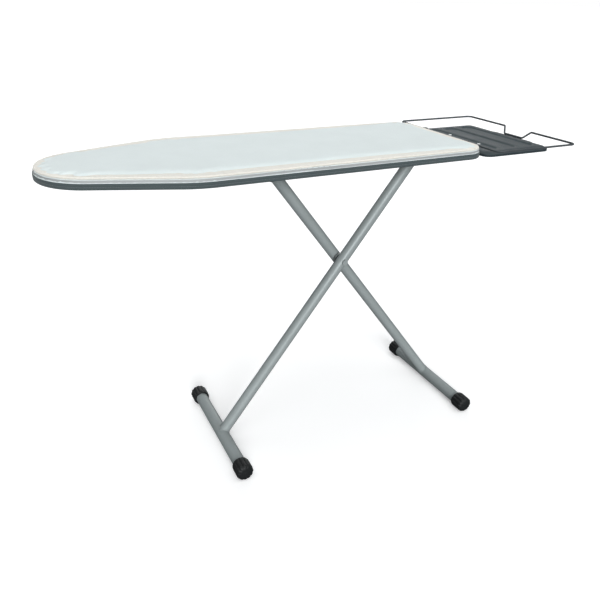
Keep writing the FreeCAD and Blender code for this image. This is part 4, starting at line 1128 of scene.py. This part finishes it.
def round_corners(px, py, half, radius):
    """Move points of a square corner onto the round one, ring by ring."""
    over_x = np.maximum(np.abs(px) - (half[0] - radius), 0.0)
    over_y = np.maximum(np.abs(py) - (half[1] - radius), 0.0)
    reach = np.hypot(over_x, over_y)
    factor = np.where(reach > 1e-9, np.maximum(over_x, over_y) / np.maximum(reach, 1e-9), 1.0)
    new_x = np.sign(px) * (np.minimum(np.abs(px), half[0] - radius) + over_x * factor)
    new_y = np.sign(py) * (np.minimum(np.abs(py), half[1] - radius) + over_y * factor)
    return new_x, new_y


def tray_height(px, py):
    """Height of the pressed sheet over a point of the tray."""
    over_x = np.abs(px) - (tray_half[0] - TRAY_CORNER)
    over_y = np.abs(py) - (tray_half[1] - TRAY_CORNER)
    outside = np.hypot(np.maximum(over_x, 0), np.maximum(over_y, 0))
    edge = TRAY_CORNER - np.where(outside > 0, outside, np.maximum(over_x, over_y))
    rim = RIM_DROP * (1 - np.clip(edge / RIM_WIDTH, 0, 1)) ** RIM_CURVE
    rim = rim + GROOVE_DEPTH * np.exp(-((edge - RIM_WIDTH) / GROOVE_WIDTH) ** 2)
    height = tray_high[2] - rim
    for row in OVAL_ROWS:
        run = np.maximum(np.abs(py) - OVAL_REACH, 0.0)
        depth = OVAL_RADIUS - np.hypot(px - row * OVAL_PITCH, run)
        height = height - OVAL_DEPTH * soft_step((depth + OVAL_START) / OVAL_SLOPE)
        height = height - LIP_DEPTH * np.exp(-((depth + LIP_REACH) / LIP_REACH) ** 2)
    return np.minimum(height, tray_high[2])


def pressed_tray():
    """Pressed sheet on a grid with round corners, its skirt below and its thickness."""
    across, along_y = TRAY_GRID
    grid_x, grid_y = np.meshgrid(np.linspace(-tray_half[0], tray_half[0], across),
                                 np.linspace(-tray_half[1], tray_half[1], along_y), indexing="ij")
    px, py = round_corners(grid_x, grid_y, tray_half, TRAY_CORNER)
    pz = tray_height(px, py)
    vertices = [(tray_middle + a, b, c) for a, b, c in zip(px.ravel(), py.ravel(), pz.ravel())]
    faces = []
    for i in range(across - 1):
        for j in range(along_y - 1):
            first = i * along_y + j
            faces.append((first, first + along_y, first + along_y + 1, first + 1))
    border = [i * along_y for i in range(across)]
    border += [(across - 1) * along_y + j for j in range(1, along_y)]
    border += [i * along_y + along_y - 1 for i in range(across - 2, -1, -1)]
    border += list(range(along_y - 2, 0, -1))
    ring = border
    for inset, level in SKIRT_RINGS:
        start = len(vertices)
        for index in border:
            vx, vy, vz = vertices[index]
            local = Vector((vx - tray_middle, vy, 0.0))
            shrink = 1.0 - inset * MM / local.length
            top = vz - SKIRT_FOLD
            z = tray_low[2] + (top - tray_low[2]) * level
            vertices.append((tray_middle + local.x * shrink, local.y * shrink, z))
        new_ring = list(range(start, start + len(border)))
        for step in range(len(border)):
            following = (step + 1) % len(border)
            faces.append((ring[following], ring[step], new_ring[step], new_ring[following]))
        ring = new_ring
    piece = make_object("pressed_tray", vertices, faces)
    thicken(piece, TRAY_THICKNESS)
    return piece


tray = pressed_tray()
finish_piece(tray, "board", TRAY_PAINT, "tray_enamel", "rest_tray")

# %% [markdown]
# ## Rubber feet
#
# Each foot bar ends in a pushed-on rubber cap with lengthwise ribs, a plain collar at its mouth and
# a rounded, slightly domed end. A cap is a surface of revolution whose radius also depends on the
# angle, so one loop over length and angle makes it. The sole is pressed flat where it stands.

# %% Caps
CAP_RIBS = 12
CAP_SIDES = 192
CAP_CORE = 24.9 * MM
CAP_RELIEF = 2.6 * MM
RIB_SQUARENESS = 2.6
COLLAR_SHARE = 0.35
SMALLEST_RING = 0.4 * MM


def cap_radius(angle, share):
    """Radius of the ribbed wall; share is how tall the ribs stand there."""
    wave = 0.5 + 0.5 * math.cos(CAP_RIBS * angle)
    rib = 1.0 - (1.0 - wave) ** RIB_SQUARENESS
    return CAP_CORE + CAP_RELIEF * (rib * share + COLLAR_SHARE * (1 - share))


CAP_STATIONS = [
    # distance from the mouth in mm, rib share, shrink of the radius in mm
    (3.0, 0.0, 5.4), (0.3, 0.0, 5.2), (0.0, 0.0, 4.2), (0.0, 0.0, 1.6), (0.6, 0.0, 0.5),
    (1.6, 0.0, 0.1), (3.6, 0.0, 0.0), (4.6, 0.1, 0.1), (5.4, 0.6, 0.1), (6.6, 0.95, 0.0),
    (9.0, 1.0, 0.0), (16.0, 1.0, 0.0), (26.0, 1.0, 0.0), (36.0, 1.0, 0.0), (40.5, 1.0, 0.1),
    (43.4, 0.95, 0.8), (45.8, 0.8, 2.2), (47.8, 0.6, 4.4), (49.2, 0.35, 7.4), (49.9, 0.15, 10.8),
    (50.2, 0.0, 14.5), (50.2, 0.0, 17.0), (49.9, 0.0, 18.2), (49.9, 0.0, 20.0), (50.4, 0.0, 21.5),
    (50.7, 0.0, 24.0), (50.8, 0.0, 25.6),
]


def foot_cap(node):
    """Ribbed rubber cap in the place of a node, open towards the bar."""
    low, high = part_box(node)
    outward = 1.0 if low[1] + high[1] > 0 else -1.0
    mouth = low[1] if outward > 0 else high[1]
    axis = Vector(((low[0] + high[0]) / 2, 0.0, high[2] - (high[0] - low[0]) / 2))
    rings = []
    for distance, share, shrink in CAP_STATIONS:
        ring = []
        for step in range(CAP_SIDES):
            angle = 2 * math.pi * step / CAP_SIDES
            radius = max(cap_radius(angle, share) - shrink * MM, SMALLEST_RING)
            z = axis.z + radius * math.sin(angle)
            ring.append((axis.x + radius * math.cos(angle), mouth + outward * distance * MM, max(z, 0.0)))
        rings.append(ring)
    vertices, faces = join_rings(rings)
    last = len(vertices) - CAP_SIDES
    faces.append(tuple(range(last, last + CAP_SIDES)))
    piece = make_object("ribbed_" + node.replace("_foot_cap", "_cap"), vertices, faces)
    if outward > 0:
        piece.data.flip_normals()
    return piece


for leg in ("nose_leg", "heel_leg"):
    for side in ("right", "left"):
        node = f"{leg}_foot_cap_{side}"
        finish_piece(foot_cap(node), leg, RUBBER, "foot_rubber", node)

# %% [markdown]
# ## Weld beads
#
# The leg tubes are coped onto the foot bars and welded all round. A painted weld is a low rippled
# rope of metal that follows the line where two round tubes meet. That line has a simple formula,
# so the bead is a thin tube carried along it, with its radius rising and falling with each pass.

# %% Welds
joints = {joint["name"]: joint for joint in frame["joints"]}
LEG_RADIUS = 17.5 * MM
FOOT_RADIUS = 20.0 * MM
BEAD_LIFT = 0.5 * MM
BEAD_STEPS = 240
BEAD_SIDES = 10
BEAD_RADIUS = 1.9
BEAD_RIPPLE = 0.28
BEAD_WANDER = 0.15


def weld_bead(name, leg, top, lean):
    """Bead where a leg tube meets its foot bar; top is the leg's upper pin."""
    bar_low, bar_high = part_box(f"{leg}_foot_bar")
    tube_low, tube_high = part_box(f"{leg}_tube")
    foot = Vector(((bar_low[0] + bar_high[0]) / 2, (tube_low[1] + tube_high[1]) / 2,
                   (bar_low[2] + bar_high[2]) / 2))
    down = (foot - Vector((top[0], foot.y, top[2]))).normalized()
    side = Vector((0.0, 1.0, 0.0))
    rise = down.cross(side)
    leg_reach = LEG_RADIUS + BEAD_LIFT
    bar_reach = FOOT_RADIUS + BEAD_LIFT
    path, radii = [], []
    for step in range(BEAD_STEPS):
        angle = 2 * math.pi * step / BEAD_STEPS
        wide = leg_reach * math.sin(angle)
        back = math.sqrt(bar_reach ** 2 - wide ** 2)
        path.append(foot + side * leg_reach * math.cos(angle) + rise * wide - down * back)
        ripple_here = BEAD_RIPPLE * math.sin(step * 0.94)
        wander_here = BEAD_WANDER * math.sin(step * 0.33 + lean)
        radii.append((BEAD_RADIUS + ripple_here + wander_here) * MM)
    vertices, faces = join_rings(tube_along(path, radii, BEAD_SIDES))
    piece = make_object(name, vertices, faces)
    return finish_piece(piece, leg, LEG_PAINT, "leg_paint")


weld_bead("nose_leg_weld", "nose_leg", joints["leg_fold"]["pos_m"], 0.0)
weld_bead("heel_leg_weld", "heel_leg", joints["carriage_level"]["pos_m"], 1.4)

# %% [markdown]
# ## Finishes of the steel and plastic parts
#
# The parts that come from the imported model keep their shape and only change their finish. The
# record names a slot for each part, so one table from slot to material covers them all.

# %% Give each part its finish
FINISHES = {
    "deck_steel": DECK_PAINT,
    "leg_paint": LEG_PAINT,
    "zinc_steel": ZINC,
    "tray_enamel": TRAY_PAINT,
    "arm_nylon": ARM_NYLON,
    "guard_paint": GUARD_PAINT,
    "moulded_grey": NYLON,
    "bush_plastic": ACETAL,
    "foot_rubber": RUBBER,
    "cover_cotton": COTTON,
    "band_cloth": BAND,
    "pad_foam": FELT,
}
for entry in frame["record"]["subparts"]:
    part = nodes[entry["node"]]
    finish = FINISHES[entry["material_slot"]]
    if not part.material_slots:
        part.data.materials.append(None)
    for slot in part.material_slots:
        slot.material = finish

# %% [markdown]
# ## Studio
#
# A plain pale floor and soft light, as in a product studio: a key light low in front, a broad
# soft one from above and a weaker one behind. The floor is seen only from above, so that the
# underside of the board can be looked at too. What the metal mirrors is kept darker than what the
# eye sees, as dark screens beside a product do, so that the round tubes get a bright middle
# between darker flanks.


# %% Floor
PAPER_DARK = (0.87, 0.875, 0.88, 1.0)
PAPER_LIGHT = (0.89, 0.892, 0.895, 1.0)
MIRRORED_FLOOR = (0.24, 0.245, 0.25, 1.0)
WHITE = (1.0, 1.0, 1.0, 1.0)
FLOOR_GLOW = 0.30


def floor_material():
    """Pale paper, darker in mirrors than to the eye, and see-through from below."""
    material, tree, shader = new_material("studio_floor")
    place = place_in(tree)
    cloud = noise_node(tree, place, 1.5, 4.0, 0.5)
    paper = mix_colours(tree, cloud, PAPER_DARK, PAPER_LIGHT)
    seen = tree.nodes.new("ShaderNodeLightPath").outputs["Is Camera Ray"]
    tree.links.new(mix_colours(tree, seen, MIRRORED_FLOOR, paper), shader.inputs["Base Color"])
    shader.inputs["Emission Color"].default_value = WHITE
    tree.links.new(math_node(tree, "MULTIPLY", seen, FLOOR_GLOW), shader.inputs["Emission Strength"])
    set_shader(shader, Roughness=0.9, Specular_IOR_Level=0.0)
    see_through = tree.nodes.new("ShaderNodeBsdfTransparent")
    either = tree.nodes.new("ShaderNodeMixShader")
    below = tree.nodes.new("ShaderNodeNewGeometry").outputs["Backfacing"]
    tree.links.new(below, either.inputs["Fac"])
    tree.links.new(shader.outputs["BSDF"], either.inputs[1])
    tree.links.new(see_through.outputs["BSDF"], either.inputs[2])
    output = next(item for item in tree.nodes if item.type == "OUTPUT_MATERIAL")
    tree.links.new(either.outputs["Shader"], output.inputs["Surface"])
    return material


FLOOR_HALF = 80.0
floor = make_object("studio_floor", [(-FLOOR_HALF, -FLOOR_HALF, 0), (FLOOR_HALF, -FLOOR_HALF, 0),
                                     (FLOOR_HALF, FLOOR_HALF, 0), (-FLOOR_HALF, FLOOR_HALF, 0)],
                    [(0, 1, 2, 3)])
floor.data.materials.append(floor_material())


# %% Lights and surroundings
def soft_sun(name, place, strength, spread):
    """Very wide soft light from the side of a place, equally strong everywhere."""
    light = bpy.data.lights.new(name, "SUN")
    light.energy = strength
    light.angle = math.radians(spread)
    item = bpy.data.objects.new(name, light)
    item.rotation_euler = (-Vector(place)).to_track_quat("-Z", "Y").to_euler()
    bpy.context.scene.collection.objects.link(item)


soft_sun("key_light", (-0.50, -2.0, 0.62), 2.9, 24)
soft_sun("top_light", (-0.2, -0.2, 3.0), 1.72, 70)
soft_sun("back_light", (0.9, 2.0, 0.40), 1.1, 40)

MIRRORED_ROOM = (0.14, 0.15, 0.155, 1.0)
world = bpy.data.worlds.new("soft_room")
world.use_nodes = True
room = world.node_tree
seen = room.nodes.new("ShaderNodeLightPath").outputs["Is Camera Ray"]
room.links.new(mix_colours(room, seen, MIRRORED_ROOM, WHITE),
               room.nodes["Background"].inputs["Color"])
bpy.context.scene.world = world

# %% [markdown]
# ## Camera
#
# The camera looks along the board from the nose side, from chest height, with a normal lens. Its
# place is given from the nose tip, and its aim as a turn about the vertical, a turn down and a
# small roll.

# %% Camera
CAMERA_FROM_NOSE = Vector((-0.073, -1.615, 1.340))
CAMERA_YAW = math.radians(26.4)
CAMERA_DOWN = math.radians(26.3)
CAMERA_ROLL = math.radians(1.46)
camera_data = bpy.data.cameras.new("camera")
camera_data.lens = 37.6
camera_data.sensor_width = 36.0
camera = bpy.data.objects.new("camera", camera_data)
bpy.context.scene.collection.objects.link(camera)
forward = Vector((math.sin(CAMERA_YAW) * math.cos(CAMERA_DOWN),
                  math.cos(CAMERA_YAW) * math.cos(CAMERA_DOWN), -math.sin(CAMERA_DOWN)))
level_right = Vector((math.cos(CAMERA_YAW), -math.sin(CAMERA_YAW), 0.0))
level_up = level_right.cross(forward)
right = level_right * math.cos(CAMERA_ROLL) + level_up * math.sin(CAMERA_ROLL)
up = level_up * math.cos(CAMERA_ROLL) - level_right * math.sin(CAMERA_ROLL)
turn = Matrix((right, up, -forward)).transposed().to_4x4()
place = Vector((NOSE_X, 0.0, 0.0)) + CAMERA_FROM_NOSE
camera.matrix_world = Matrix.Translation(place) @ turn
bpy.context.scene.camera = camera
bpy.context.scene.view_settings.view_transform = "Standard"
